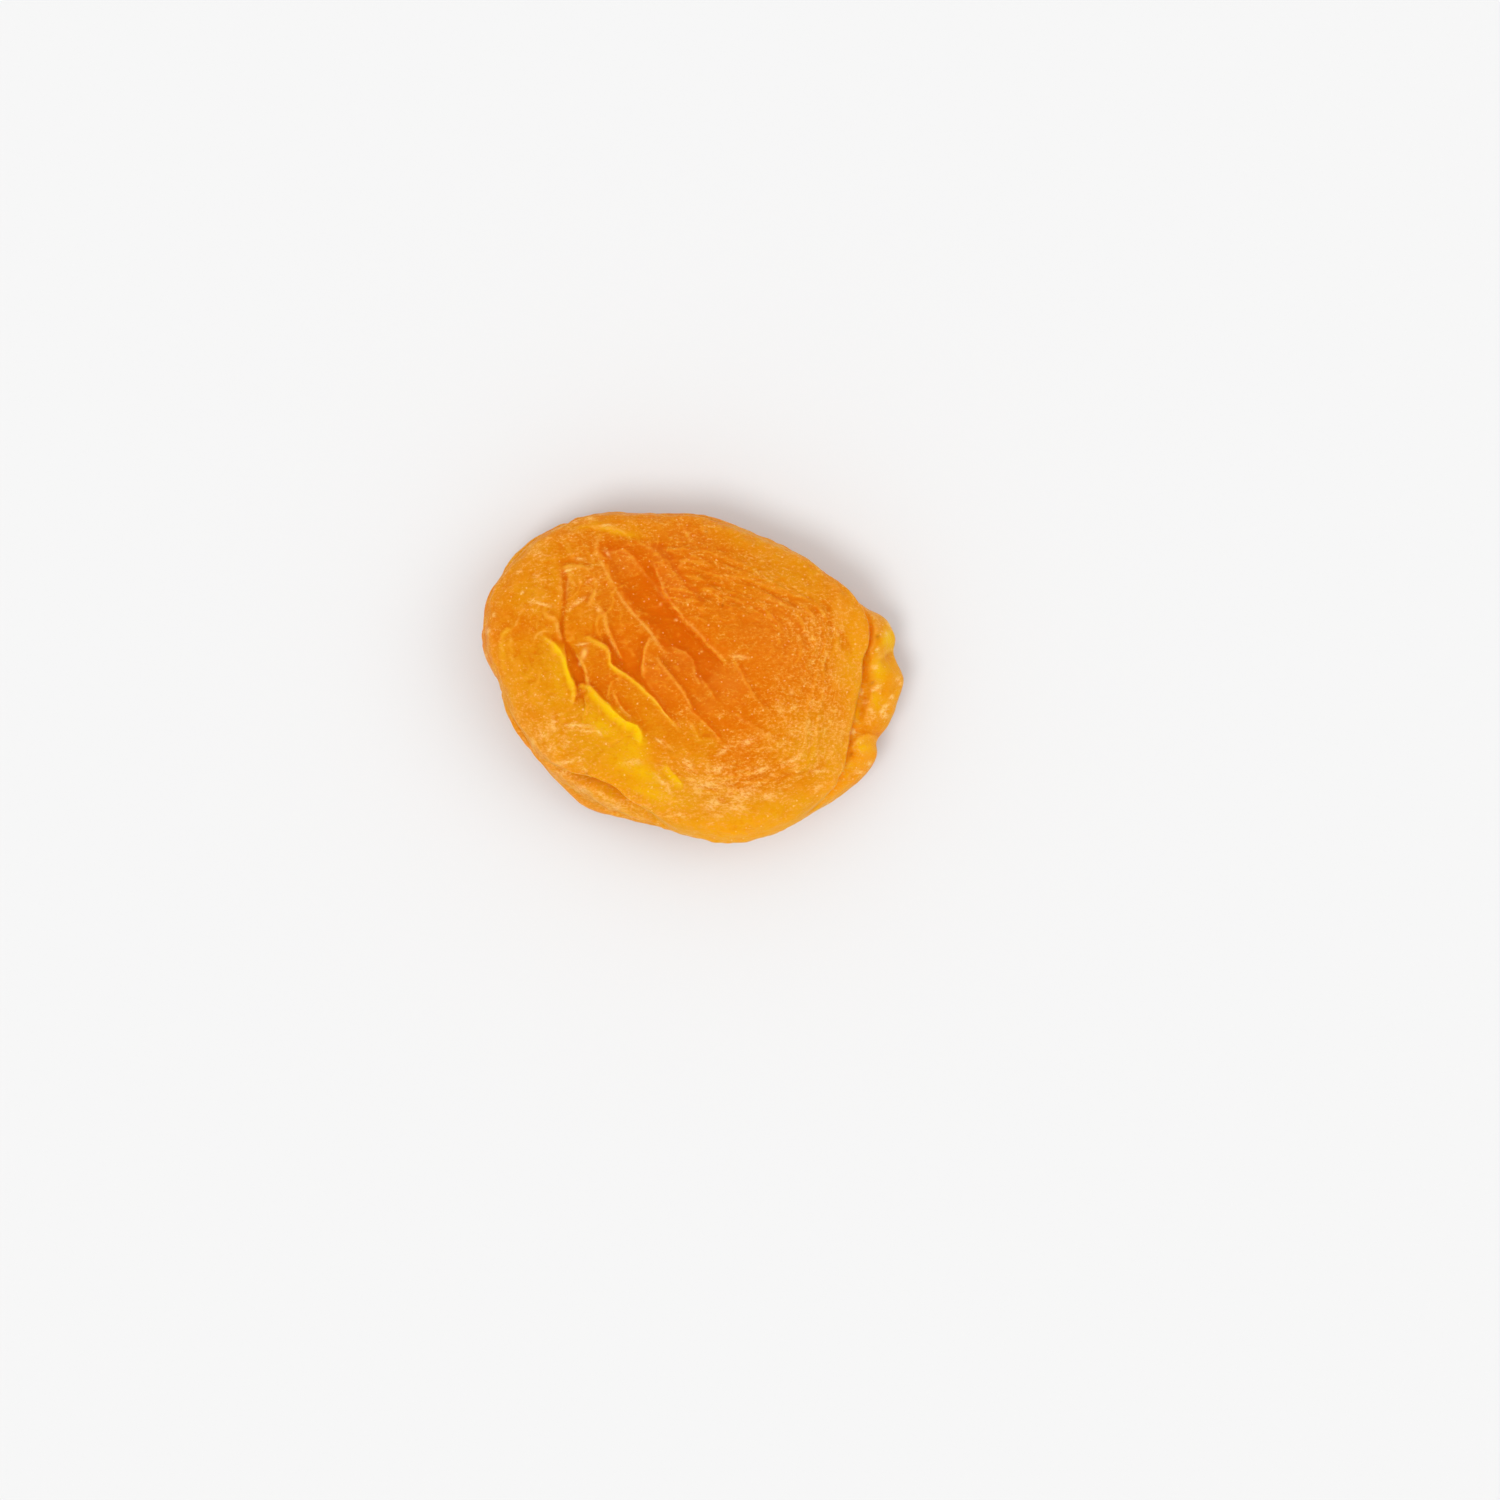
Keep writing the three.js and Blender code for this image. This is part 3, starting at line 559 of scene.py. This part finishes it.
def side_controls(angle):
    """Points that the side passes through at each angle, from the shoulder down to the flat spot."""
    upper = upper_radius(angle)
    lower = lower_radius(angle)
    seam = np.minimum(upper, lower) - seam_depth(angle)
    ledge = lower - seam
    under = lower - UNDER_INSET
    flat = FLAT_X * FLAT_Y / np.hypot(FLAT_Y * np.cos(angle), FLAT_X * np.sin(angle))
    swell = RIM_SWELL * np.sin(9 * angle) * np.sin(4 * angle + 1)
    sag = UNDERSIDE_SWELL * (1 + np.sin(5 * angle + 1) * np.cos(2 * angle))
    lip = beyond(ledge, 2.2, 2)
    middle = seam_height(angle) + SEAM_WAVE * noise(3 * np.cos(angle), 3 * np.sin(angle), 0, 7)
    high = middle + UPPER_LEAF_RISE + swell
    low = LOWER_LEAF_HEIGHT - 0.35 * (middle - LOWER_LEAF_HEIGHT) - swell
    shoulder = upper - SHOULDER_INSET
    widest = np.maximum(upper, lower)
    closed = np.clip(seam_closing(angle), 0, 1)

    def rounded(out, down, radius, height):
        """A point of the leaf, drawn onto one rounded side where the leaves have grown together."""
        round_radius = shoulder + (widest - shoulder) * out
        round_height = SHOULDER_HEIGHT + (low - SHOULDER_HEIGHT) * down
        return at(angle, radius + (round_radius - radius) * closed, height + (round_height - height) * closed)

    return [
        # The top and the shoulder.
        top_points(angle, 0.85),
        top_points(angle, 1),
        rounded(0.62, 0.13, upper - 0.9, 0.5 * high + 0.5 * SHOULDER_HEIGHT),
        # The upper leaf's edge, the seam, and the lower leaf down to its edge.
        rounded(0.85, 0.31, upper, high),
        rounded(0.93, 0.44, upper - 0.35 * (upper - seam), high - 0.9),
        rounded(0.98, 0.57, seam, middle),
        rounded(1, 0.7, lower - 0.5 * ledge, low + (0.8 + 0.25 * lip) * (middle - low)),
        rounded(0.99, 0.84, lower - np.minimum(0.35, 0.25 * ledge) * (1 + lip), low + 0.8 + 0.4 * lip),
        rounded(0.96, 1, lower, low),
        # The underside and the flat spot.
        at(angle, lower - 0.5 - 0.6 * closed, low - 1),
        at(angle, under, UNDER_EDGE_HEIGHT + 0.3 * sag),
        at(angle, flat + (under - flat) * 0.45, 0.35 + 0.5 * sag),
        at(angle, flat, 0),
        at(angle, flat * 0.8, 0),
    ]


def curve_points(p, t):
    """Centripetal Catmull-Rom points between the middle two of four columns of control points."""
    a, b, c, d = p
    first, span, last = [np.linalg.norm(p[i + 1] - p[i], axis=-1, keepdims=True) ** 0.5 for i in range(3)]
    leave = ((b - a) / first - (c - a) / (first + span) + (c - b) / span) * span
    arrive = ((c - b) / span - (d - b) / (span + last) + (d - c) / last) * span
    return b + leave * t + (3 * (c - b) - 2 * leave - arrive) * t**2 + (2 * (b - c) + leave + arrive) * t**3


def disc_places():
    """Angle and reach at the corners of the square grid, which is drawn out into a disc."""
    row, column = np.mgrid[0 : GRID + 1, 0 : GRID + 1].reshape(2, -1)
    a = 2 * column / GRID - 1
    b = 2 * row / GRID - 1
    x = a * np.sqrt(1 - b * b / 2)
    y = b * np.sqrt(1 - a * a / 2)
    return np.arctan2(y, x), np.hypot(x, y)


def build_surface():
    """Corners, faces, the last ring of corners, and each corner's angle and place."""
    angle, reach = disc_places()
    points = [top_points(angle, reach)]
    angles = [angle]
    places = [reach]
    index = np.arange(len(angle)).reshape(GRID + 1, GRID + 1)
    faces = [np.stack([index[:-1, :-1], index[:-1, 1:], index[1:, 1:], index[1:, :-1]], -1).reshape(-1, 4)]

    ring = np.concatenate([index[0, :-1], index[:-1, -1], index[-1, :0:-1], index[:0:-1, 0]])
    turn = angle[ring]
    controls = side_controls(turn)
    total = len(angle)

    def add_ring(new_points, place, widening=False):
        nonlocal ring, total
        below = np.arange(total, total + len(turn))
        after = np.roll(below, -1)
        total += len(turn)
        points.append(new_points)
        angles.append(turn)
        places.append(np.full(len(turn), place))
        if widening:
            start, middle, end = ring[0::2], ring[1::2], np.roll(ring, -2)[0::2]
            faces.append(np.stack([start, below, middle, middle], -1))
            faces.append(np.stack([below, after, end, middle], -1))
        else:
            faces.append(np.stack([ring, below, after, np.roll(ring, -1)], -1))
        ring = below

    for band, rows in enumerate(BAND_ROWS):
        widening = band in WIDENING_BANDS
        if widening:
            turn = turn[0::2]
            controls = [column_of_points[0::2] for column_of_points in controls]
        for step in range(1, rows + 1):
            new_points = curve_points(controls[band : band + 4], step / rows)
            add_ring(new_points, 1 + band + step / rows, widening and step == 1)
    rim_of_flat = points[-1]
    for step in range(1, FLAT_ROWS + 1):
        add_ring(rim_of_flat * (1 - FLAT_REACH * step / FLAT_ROWS), FLAT_PLACE + step / FLAT_ROWS)
    return np.concatenate(points), np.concatenate(faces), ring, np.concatenate(angles), np.concatenate(places)


def unit(vectors):
    return vectors / np.maximum(np.linalg.norm(vectors, axis=1, keepdims=True), 1e-12)


def face_directions(points, faces):
    """Which way each face looks, as long as the face is large."""
    across = points[faces[:, 2]] - points[faces[:, 0]]
    down = points[faces[:, 3]] - points[faces[:, 1]]
    return np.cross(across, down)


def normals(points, faces):
    face = face_directions(points, faces)
    out = np.zeros_like(points)
    for k in range(4):
        np.add.at(out, faces[:, k], face)
    return unit(out)


def side_creases(angle, height):
    """How deep the creases of the side are, with the skin slightly swollen beside them."""
    points = np.stack([np.degrees(np.mod(angle, TURN)) * MM_PER_DEGREE, height], 1)
    relief = np.zeros(len(angle))
    for path, depth, width in SIDE_CREASES:
        d, begun, left = fold_places(points, np.array(path) * (MM_PER_DEGREE, 1 / TENTHS))
        width = width / TENTHS
        fade = smooth(begun / CREASE_ENDS) * smooth(left / CREASE_ENDS)
        relief += fade * depth / TENTHS * (0.45 * close_to(d, 0, 3 * width) - close_to(d, 0, width))
    return relief


def wrinkle_relief(points, angle, place):
    """Fine wrinkles: lengthwise round the rim, slanting down the middle, and round the right-hand end."""
    x, y, z = points.T

    def rough(size_x, size_y, size_z, seed):
        return noise(x / size_x, y / size_y, z / size_z, seed)

    bend = 1.1 * rough(6, 6, 6, 3)
    top = 1 - beyond(place, 0.9, 1.6)
    side = beyond(place, 1.2, 1.2) * (1 - beyond(place, 9.6, 2))
    edges = close_to(place, 4, 0.9) + close_to(place, 8, 1)
    side *= 1 - 0.6 * np.minimum(edges, 1)
    side *= 1 - 0.5 * beyond(x, 14, 4)

    # The top: slanting wrinkles in the middle, curling ones round the end, lumps and a web of fine ridges.
    along, across = SLANT_X * x - SLANT_Y * y, SLANT_Y * x + SLANT_X * y
    slant = noise(along / 4.5 + bend, across / 1.2 + bend, 0, 11)
    rings = (1 - np.minimum(place, 1)) * TOP_REACH
    curl = noise(angle * 3 + bend, rings / 1.1 + bend, 0, 13)
    curl_fine = noise(angle * 6 - bend, rings / 0.55 + bend, 0, 14)
    middle = smooth(1.25 - np.hypot((x + 1) / 14, (y + 1) / 12))
    end = beyond(np.hypot((x - 2) / 13, (y + 2) / 11), 0.45, 0.5) * beyond(x, -6, 6)
    relief = top * (0.1 * middle * slant + end * (0.2 * curl + 0.13 * curl_fine))
    relief += top * 0.22 * rough(3.4, 3.4, 3.4, 31)
    relief += top * (0.05 * rough(1.2, 0.9, 1.1, 33) + 0.04 * rough(0.65, 0.5, 0.6, 34))
    left = beyond(-x, 4, 6) + 0.6 * beyond(y, 9, 5)
    web = close_to(noise(x / 2.3 + bend, y / 3.1 - bend, z / 4, 51), 0, 0.1)
    web_fine = close_to(noise(x / 1.3 + bend, y / 1.7 - bend, z / 2, 52), 0, 0.14)
    broken = smooth(0.5 + 1.6 * rough(2.5, 2.5, 2.5, 53))
    relief += (top * np.minimum(left, 1) + 0.6 * side) * broken * (0.1 * web + 0.05 * web_fine)

    # The side: furrows along it, its creases, and the rough torn end.
    lengthwise = np.abs(noise(angle * 3.5 + bend, z / 1.5 + 0.8 * bend, 0, 21))
    slanting = np.abs(noise(angle * 7 + z / 2.2, z / 1.8 - bend, 0, 25))
    under = beyond(place, 8.4, 1) * (1 - beyond(place, 11.5, 1.5))
    relief += (side + under) * (0.3 * lengthwise + 0.2 * slanting - 0.1)
    relief += side * (side_creases(angle, z) + 0.35 * rough(5, 5, 3.5, 22))
    relief += top * 0.3 * rough(7, 7, 7, 35)
    relief += side * (0.08 * rough(1.2, 1.2, 0.9, 23) + 0.04 * rough(0.6, 0.6, 0.5, 24))
    torn = side * beyond(x, 14, 2) * (1 - beyond(place, 8.5, 1))
    relief += torn * (0.22 * rough(1.5, 1.8, 1.5, 61) + 0.1 * rough(0.7, 0.8, 0.7, 62))

    # The pleats of the underside.
    pleats = np.abs(noise(x / 3.4 + bend, y / 3.4 - bend, 0, 41))
    pleats_fine = np.abs(noise(x / 1.3 - bend, y / 1.3 + bend, 0, 42))
    return relief + beyond(place, 9.2, 2) * (0.9 * pleats + 0.35 * pleats_fine)


class Spread:
    """Evens out values over the mesh by letting each corner share with its neighbours."""

    def __init__(self, faces, count):
        pairs = np.concatenate([faces[:, [k, (k + 1) % 4]] for k in range(4)])
        self.start = np.concatenate([pairs[:, 0], pairs[:, 1]])
        self.stop = np.concatenate([pairs[:, 1], pairs[:, 0]])
        self.count = count
        self.share = np.bincount(self.start, minlength=count)

    def blur(self, values, rounds):
        for _ in range(rounds):
            near = np.bincount(self.start, values[self.stop], self.count) / self.share
            values = 0.4 * values + 0.6 * near
        return values

    def blur_points(self, points, rounds):
        return np.stack([self.blur(column, rounds) for column in points.T], 1)


def even_out_seam(points, place, spread):
    """Rounds the bottom of the seam, where rows of corners crowd together."""
    near_bottom = close_to(place, SEAM_ROW, 0.5, 4)[:, None]
    return points + near_bottom * (spread.blur_points(points, EVENING_ROUNDS) - points)


def ease_folded_corners(points, faces, spread):
    """Moves the few corners where the skin folds over itself back between their neighbours."""
    for _ in range(EASING_ROUNDS):
        looks = unit(face_directions(points, faces))
        out = normals(points, faces)
        agreement = np.ones(len(points))
        for k in range(4):
            np.minimum.at(agreement, faces[:, k], (looks * out[faces[:, k]]).sum(1))
        points = np.where((agreement < FOLDED)[:, None], spread.blur_points(points, 1), points)
    return points


def new_object(name, data):
    made = bpy.data.objects.new(name, data)
    bpy.context.scene.collection.objects.link(made)
    return made


def build_fruit():
    """The fruit's mesh, with its folds raised, and its colour masks stored on the corners."""
    points, faces, last_ring, angle, place = build_surface()
    x, y = points.T[:2].copy()
    folds, crest_highlight, glow, shade = fold_relief(x, y)
    lumps, lump_glints = np.zeros((2, len(x)))
    # Small lumps, each with a painted glint.
    for *oval, rise, pale in LUMPS:
        lumps += zone(x, y, [(*oval, rise)])
        lump_glints += zone(x, y, [(*oval, pale)])
    on_top = 1 - beyond(place, 1, 1.6)
    on_lip = beyond(place, 5, 0.6) * (1 - beyond(place, 7.6, 0.8)) * beyond(x, 15, 1)
    seen_from_above = np.maximum(on_top, on_lip)
    swells = sum(zone(x, y, [swell]) for swell in SWELLS)
    strokes_and_glints = zone(x, y, STROKES_AND_GLINTS)
    raised = (folds + lumps + STROKE_RISE * strokes_and_glints) * seen_from_above + swells * on_top
    raised = raised * (1 - 0.4 * np.minimum(place, 1) ** 6)
    points[:, 2] += raised
    fine = wrinkle_relief(points, angle, place) * (1 - beyond(place, 11, 1))
    points = points + normals(points, faces) * fine[:, None]
    points[:, 2] = np.maximum(points[:, 2], 0)

    spread = Spread(faces, len(points))
    points = even_out_seam(points, place, spread)
    points = ease_folded_corners(points, faces, spread)
    face_lists = [list(dict.fromkeys(face)) for face in faces.tolist()]
    mesh = bpy.data.meshes.new("fruit")
    mesh.from_pydata((points * MM).tolist(), [], [*face_lists, last_ring[::-1].tolist()])
    mesh.polygons.foreach_set("use_smooth", np.ones(len(mesh.polygons), bool))

    nearby = spread.blur(raised + fine, NEARBY_ROUNDS)
    calm = spread.blur(0.4 * raised + fine, NEARBY_ROUNDS)
    around_it = spread.blur(nearby, WIDE_ROUNDS)
    seen = 1 - beyond(place, 8, 2)
    inside = upper_radius(angle) - np.hypot(x, y)
    open_seam = 1 - np.clip(seam_closing(angle), 0, 1)
    # Painted light in the groove of the open seam, stronger on the right, standing for light through the
    # flesh.
    below_edge = beyond(place, 4.2, 0.6) * (1 - beyond(place, 7, 1)) * smooth(seam_depth(angle) / 0.4)
    seam = below_edge * close_to(np.maximum(-inside, 0), 0, 0.6)
    left_end = beyond(-x, 9, 4) * beyond(y, -6, 5)
    right_end = beyond(np.hypot((x - 1) / 14, (y + 1) / 11), 0.5, 0.4) * beyond(x, -7, 6)
    specks = zone(x, y, [(at_x, at_y, size, size, 0, TENTHS) for at_x, at_y, size in SPECKS])
    masks = {
        # Painted highlights along the fold crests.
        "crest_highlight": np.clip(crest_highlight * seen_from_above, 0, 1),
        "glow": np.clip((glow + zone(x, y, GLOW_ZONES)) * seen_from_above, 0, 1),
        "shade": np.clip(shade * seen_from_above, 0, 1),
        # Painted shade in the hollows, from how far each corner lies below what is farther around.
        "hollow_shade": np.clip((around_it - nearby) / 0.4, -1, 1) * (1 - 0.7 * smooth(place - 1) * seen),
        # Painted highlights on small ridges and painted shade in small creases, by how the surface bends
        # nearby.
        "ridge_light_and_crease_shade": np.clip((0.4 * raised + fine - calm) / 0.035, -1, 1) * (1 - 0.5 * smooth(place - 1)),
        "yellow": zone(x, y, YELLOW_ZONES) * (1 - 0.8 * beyond(place, 7.5, 2)),
        # Deeper colour with painted shade in the valleys, grooves and notches.
        "deep_shade": zone(x, y, DEEP_SHADE_ZONES) * seen_from_above,
        # Pale skin and painted sheen.
        "pale": zone(x, y, PALE_AND_SHEEN_ZONES) * seen,
        "blush": zone(x, y, BLUSH_ZONES) * on_top,
        # Pale worn strokes, with painted glints and highlights.
        "stroke_and_glint": strokes_and_glints * seen,
        # Painted glints on the small lumps.
        "lump_glint": np.clip(lump_glints * seen, 0, 1),
        "border": close_to(inside, 0.5, 0.8) * left_end * on_top,
        "end": right_end * on_top,
        "turn": angle * RIM_RADIUS,
        "inward": place * TOP_REACH,
        "speck": specks * seen,
        "side": beyond(place, 1, 1.8),
        "wax": zone(x, y, WAX_ZONES) * (1 - beyond(place, 7, 2)),
        "under": beyond(place, 8.3, 2),
        # Painted light in the seam's groove.
        "seam": np.where(x > 0, 0.7, 0.3) * seam * open_seam,
    }
    for name, values in masks.items():
        mesh.attributes.new(name, "FLOAT", "POINT").data.foreach_set("value", values.astype(np.float32))
    mesh.validate()
    return new_object("apricot_fruit", mesh)


class Nodes:
    """Shorthand for building a material's node tree, with the colour that has been painted so far."""

    def __init__(self, name, colour):
        self.material = bpy.data.materials.new(name)
        self.material.use_nodes = True
        self.tree = self.material.node_tree
        self.tree.nodes.clear()
        self.colour = (*colour, 1)

    def add(self, kind, inputs=None, **settings):
        node = self.tree.nodes.new("ShaderNode" + kind)
        for key, value in settings.items():
            setattr(node, key, value)
        for key, value in (inputs or {}).items():
            if isinstance(value, bpy.types.NodeSocket):
                self.tree.links.new(value, node.inputs[key])
            else:
                node.inputs[key].default_value = value
        return node

    def mask(self, name):
        return self.add("Attribute", attribute_name=name).outputs["Fac"]

    def math(self, operation, a, b, clamp=False):
        return self.add("Math", {0: a, 1: b}, operation=operation, use_clamp=clamp).outputs[0]

    def plus(self, a, b):
        return self.math("ADD", a, b)

    def minus(self, a, b):
        return self.math("SUBTRACT", a, b)

    def times(self, a, b, clamp=False):
        return self.math("MULTIPLY", a, b, clamp)

    def ramp(self, value, low, high, to_low=0, to_high=1):
        ends = {"Value": value, "From Min": low, "From Max": high, "To Min": to_low, "To Max": to_high}
        return self.add("MapRange", ends, interpolation_type="SMOOTHSTEP").outputs[0]

    def noise(self, vector, scale, detail, roughness=0.5, distortion=0):
        return self.add("TexNoise", {"Vector": vector, "Scale": scale, "Detail": detail,
                                     "Roughness": roughness, "Distortion": distortion}).outputs[0]

    def paint(self, factor, colour):
        mix = self.add("Mix", {0: factor, 6: self.colour, 7: (*colour, 1)}, data_type="RGBA")
        self.colour = mix.outputs[2]

    def finish(self, inputs):
        shader = self.add("BsdfPrincipled", {"Base Color": self.colour, **inputs})
        self.add("OutputMaterial", {"Surface": shader.outputs[0]})
        return self.material


# Colours of the flesh, linear.
ORANGE = (0.69, 0.17, 0.002)
BLUSH = (0.73, 0.205, 0.015)
AMBER = (0.66, 0.13, 0.001)
# Deep orange, painted as shade in the valleys, hollows and creases, and also between the velvet's dots.
DEEP_SHADE = (0.67, 0.12, 0.0005)
WARM = (0.72, 0.315, 0.003)
YELLOW = (0.86, 0.56, 0.001)
WAX = (0.94, 0.41, 0.004)
# Bright orange painted into the seam's groove as light through the flesh.
GROOVE_LIGHT = (0.97, 0.3, 0.001)
# The velvet's pale dots, part the skin's own mottling and part painted highlights on its tiny bumps.
LIGHT = (0.755, 0.285, 0.018)
# Painted highlight on the small ridges.
RIDGE_HIGHLIGHT = (0.8, 0.33, 0.02)
# The velvet's palest dots, partly painted highlights, and the painted glints on the lumps.
PALE = (0.865, 0.46, 0.1)
BORDER = (0.78, 0.34, 0.08)
# Painted highlight along the fold crests.
CREST_HIGHLIGHT = (0.84, 0.41, 0.06)
# Pale worn strokes and painted glints.
WORN_AND_GLINT = (0.9, 0.53, 0.16)
CRUMB = (0.95, 0.69, 0.28)
SPECK = (0.35, 0.06, 0.004)

# How fine the patterns of the skin are, in features to the metre.
CLOUDS = 300
PATCHES = 700
CRUMBS = 1300
FURROWS = 1600
GRAIN = 2500

# The velvet's strokes: their slant in degrees, and how much finer they are across it than along it.
VELVET_SLANT = -18
VELVET_STRETCH = (1, 1.6, 1.4)


def flesh_material():
    n = Nodes("dried_flesh", ORANGE)
    place = n.add("TexCoord").outputs["Object"]
    cloud = n.noise(place, CLOUDS, 3)
    unrest = n.times(n.minus(cloud, 0.5), 1.6)

    warm = n.plus(n.mask("yellow"), n.times(n.mask("side"), 0.1))
    n.paint(n.ramp(n.plus(warm, n.times(unrest, 0.35)), 0, 1), WARM)
    n.paint(n.times(n.mask("blush"), 0.8), BLUSH)
    n.paint(n.mask("wax"), WAX)
    n.paint(n.mask("glow"), YELLOW)
    n.paint(n.times(n.mask("under"), n.ramp(cloud, 0.4, 0.62, 0.25, 0.8)), AMBER)
    # Painted shade: the deep zones, the low sides of the folds and the hollows, in deep orange.
    deep_shade = n.math("MAXIMUM", n.mask("deep_shade"), n.mask("shade"))
    deep_shade = n.math("MAXIMUM", deep_shade, n.times(n.mask("hollow_shade"), 0.7))
    n.paint(n.ramp(deep_shade, 0, 1, 0, 0.9), DEEP_SHADE)
    # Painted light in the seam's groove.
    n.paint(n.mask("seam"), GROOVE_LIGHT)
    # Painted shade in the small creases and painted highlights on the small ridges.
    n.paint(n.ramp(n.mask("ridge_light_and_crease_shade"), 0, -1, 0, 0.35), DEEP_SHADE)
    n.paint(n.ramp(n.mask("ridge_light_and_crease_shade"), 0, 1, 0, 0.5), RIDGE_HIGHLIGHT)

    # Fine velvet of pale dots and short strokes on one slant, part the skin's own mottling and part painted
    # highlights on its tiny bumps, darker between them. It is dense in the pale zones and on the side, thin
    # in the hollows, and at the right-hand end it gathers into wisps that follow the edge, a painted shimmer
    # on the fine wrinkles there.
    slanted = n.add("Mapping", {"Vector": place, "Rotation": (0, 0, math.radians(VELVET_SLANT)),
                                "Scale": VELVET_STRETCH}).outputs[0]
    grain = n.noise(slanted, GRAIN, 4, 0.75)
    patches = n.noise(slanted, PATCHES, 3, 0.65)
    ringwise = n.add("CombineXYZ", {"X": n.times(n.mask("turn"), 0.8), "Y": n.times(n.mask("inward"), 1.7)})
    wisps = n.noise(ringwise.outputs[0], 1, 3, 0.65, 0.7)
    wisp = n.times(n.minus(wisps, 0.48), n.mask("end"))
    density = n.plus(n.times(n.mask("pale"), 0.15), n.times(n.mask("side"), 0.05))
    density = n.minus(density, n.times(n.mask("wax"), 0.1))
    density = n.minus(density, n.times(deep_shade, 0.1))
    density = n.plus(density, n.times(n.minus(patches, 0.5), 0.38))
    density = n.plus(density, n.times(wisp, 0.5))
    velvet = n.plus(grain, density)
    n.paint(n.ramp(velvet, 0.49, 0.36, 0, 0.25), DEEP_SHADE)
    n.paint(n.ramp(velvet, 0.46, 0.66, 0, 0.6), LIGHT)
    n.paint(n.ramp(velvet, 0.56, 0.8, 0, 0.75), PALE)
    n.paint(n.times(n.mask("border"), 0.15), BORDER)

    # Sparse crumbs of dried sugar.
    crumbs = n.add("TexVoronoi", {"Vector": place, "Scale": CRUMBS, "Randomness": 1})
    crumb = n.ramp(crumbs.outputs["Distance"], 0.17, 0.08)
    strength = n.plus(n.ramp(grain, 0.4, 0.65, 0, 0.5), n.times(n.mask("wax"), 0.6))
    n.paint(n.times(crumb, strength, clamp=True), CRUMB)

    # Painted highlights along the fold crests, broken up in patches, glowing lips, pale worn strokes with
    # painted glints and highlights, painted glints on the lumps, and brown specks.
    highlight_breaks = n.ramp(n.plus(patches, n.times(grain, 0.5)), 0.6, 0.85, 0.25, 1)
    n.paint(n.times(n.mask("crest_highlight"), highlight_breaks), CREST_HIGHLIGHT)
    n.paint(n.times(n.mask("glow"), n.ramp(cloud, 0.35, 0.6, 0.3, 0.9)), YELLOW)
    n.paint(n.times(n.mask("stroke_and_glint"), n.ramp(grain, 0.4, 0.56, 0.15, 1)), WORN_AND_GLINT)
    n.paint(n.mask("lump_glint"), PALE)
    n.paint(n.times(n.mask("speck"), 0.6), SPECK)

    # The skin's own relief: the velvet everywhere, and furrows along the side.
    height_on_side = n.times(n.add("SeparateXYZ", {0: place}).outputs["Z"], FURROWS)
    lengthwise = n.add("CombineXYZ", {"X": n.times(n.mask("turn"), 0.35), "Y": height_on_side})
    furrows = n.noise(lengthwise.outputs[0], 1, 4, 0.6, 0.8)
    height = n.plus(velvet, n.times(n.times(furrows, n.mask("side")), 0.6))
    bump = n.add("Bump", {"Height": height, "Strength": 0.6, "Distance": 0.0002})
    gloss = n.plus(n.times(n.mask("side"), -0.06), n.ramp(velvet, 0.4, 0.8, 0.36, 0.5))
    return n.finish({
        "Roughness": gloss,
        "Normal": bump.outputs[0],
        "Subsurface Weight": 0.65,
        "Subsurface Radius": (1, 0.25, 0.04),
        "Subsurface Scale": 0.0018,
        "Specular IOR Level": 0.08,
        "Specular Tint": (1, 0.6, 0.12, 1),
    })


def soft_sun(name, azimuth, elevation, strength, spread):
    """A broad, even light from a compass direction: azimuth 0 shines from -Y, 90 from +X."""
    data = bpy.data.lights.new(name, "SUN")
    data.energy = strength
    data.angle = math.radians(spread)
    light = new_object(name, data)
    light.rotation_euler = (math.radians(90 - elevation), 0, math.radians(azimuth))


# The room: the floor's size in metres and its colour, and the strength of the white all around.
FLOOR_SIZE = 12
FLOOR_COLOUR = (0.74, 0.74, 0.74)
ROOM_LIGHT = 0.88

# The camera's place in metres and its lens in mm.
CAMERA_PLACE = (0.00567, -0.00756, 0.432)
LENS = 100


def build_room():
    bpy.ops.mesh.primitive_plane_add(size=FLOOR_SIZE)
    floor = bpy.context.object
    floor.name = "floor"
    floor_material = Nodes("pale_floor", FLOOR_COLOUR).finish({"Roughness": 0.9, "Specular IOR Level": 0.1})
    floor.data.materials.append(floor_material)

    world = bpy.data.worlds.new("studio")
    world.use_nodes = True
    background = world.node_tree.nodes["Background"]
    background.inputs["Color"].default_value = (1, 1, 1, 1)
    background.inputs["Strength"].default_value = ROOM_LIGHT
    bpy.context.scene.world = world

    soft_sun("key", azimuth=-40, elevation=64, strength=1, spread=25)
    soft_sun("fill", azimuth=100, elevation=45, strength=0.4, spread=40)


def build_camera():
    data = bpy.data.cameras.new("camera")
    data.lens = LENS
    data.clip_start = 0.01
    camera = new_object("camera", data)
    camera.location = CAMERA_PLACE
    bpy.context.scene.camera = camera


def main():
    bpy.ops.object.select_all(action="SELECT")
    bpy.ops.object.delete()
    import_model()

    fruit = build_fruit()
    fruit.data.materials.append(flesh_material())
    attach(fruit, "root")
    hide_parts("apricot")

    build_room()
    build_camera()
    bpy.context.scene.view_settings.view_transform = "Standard"


main()
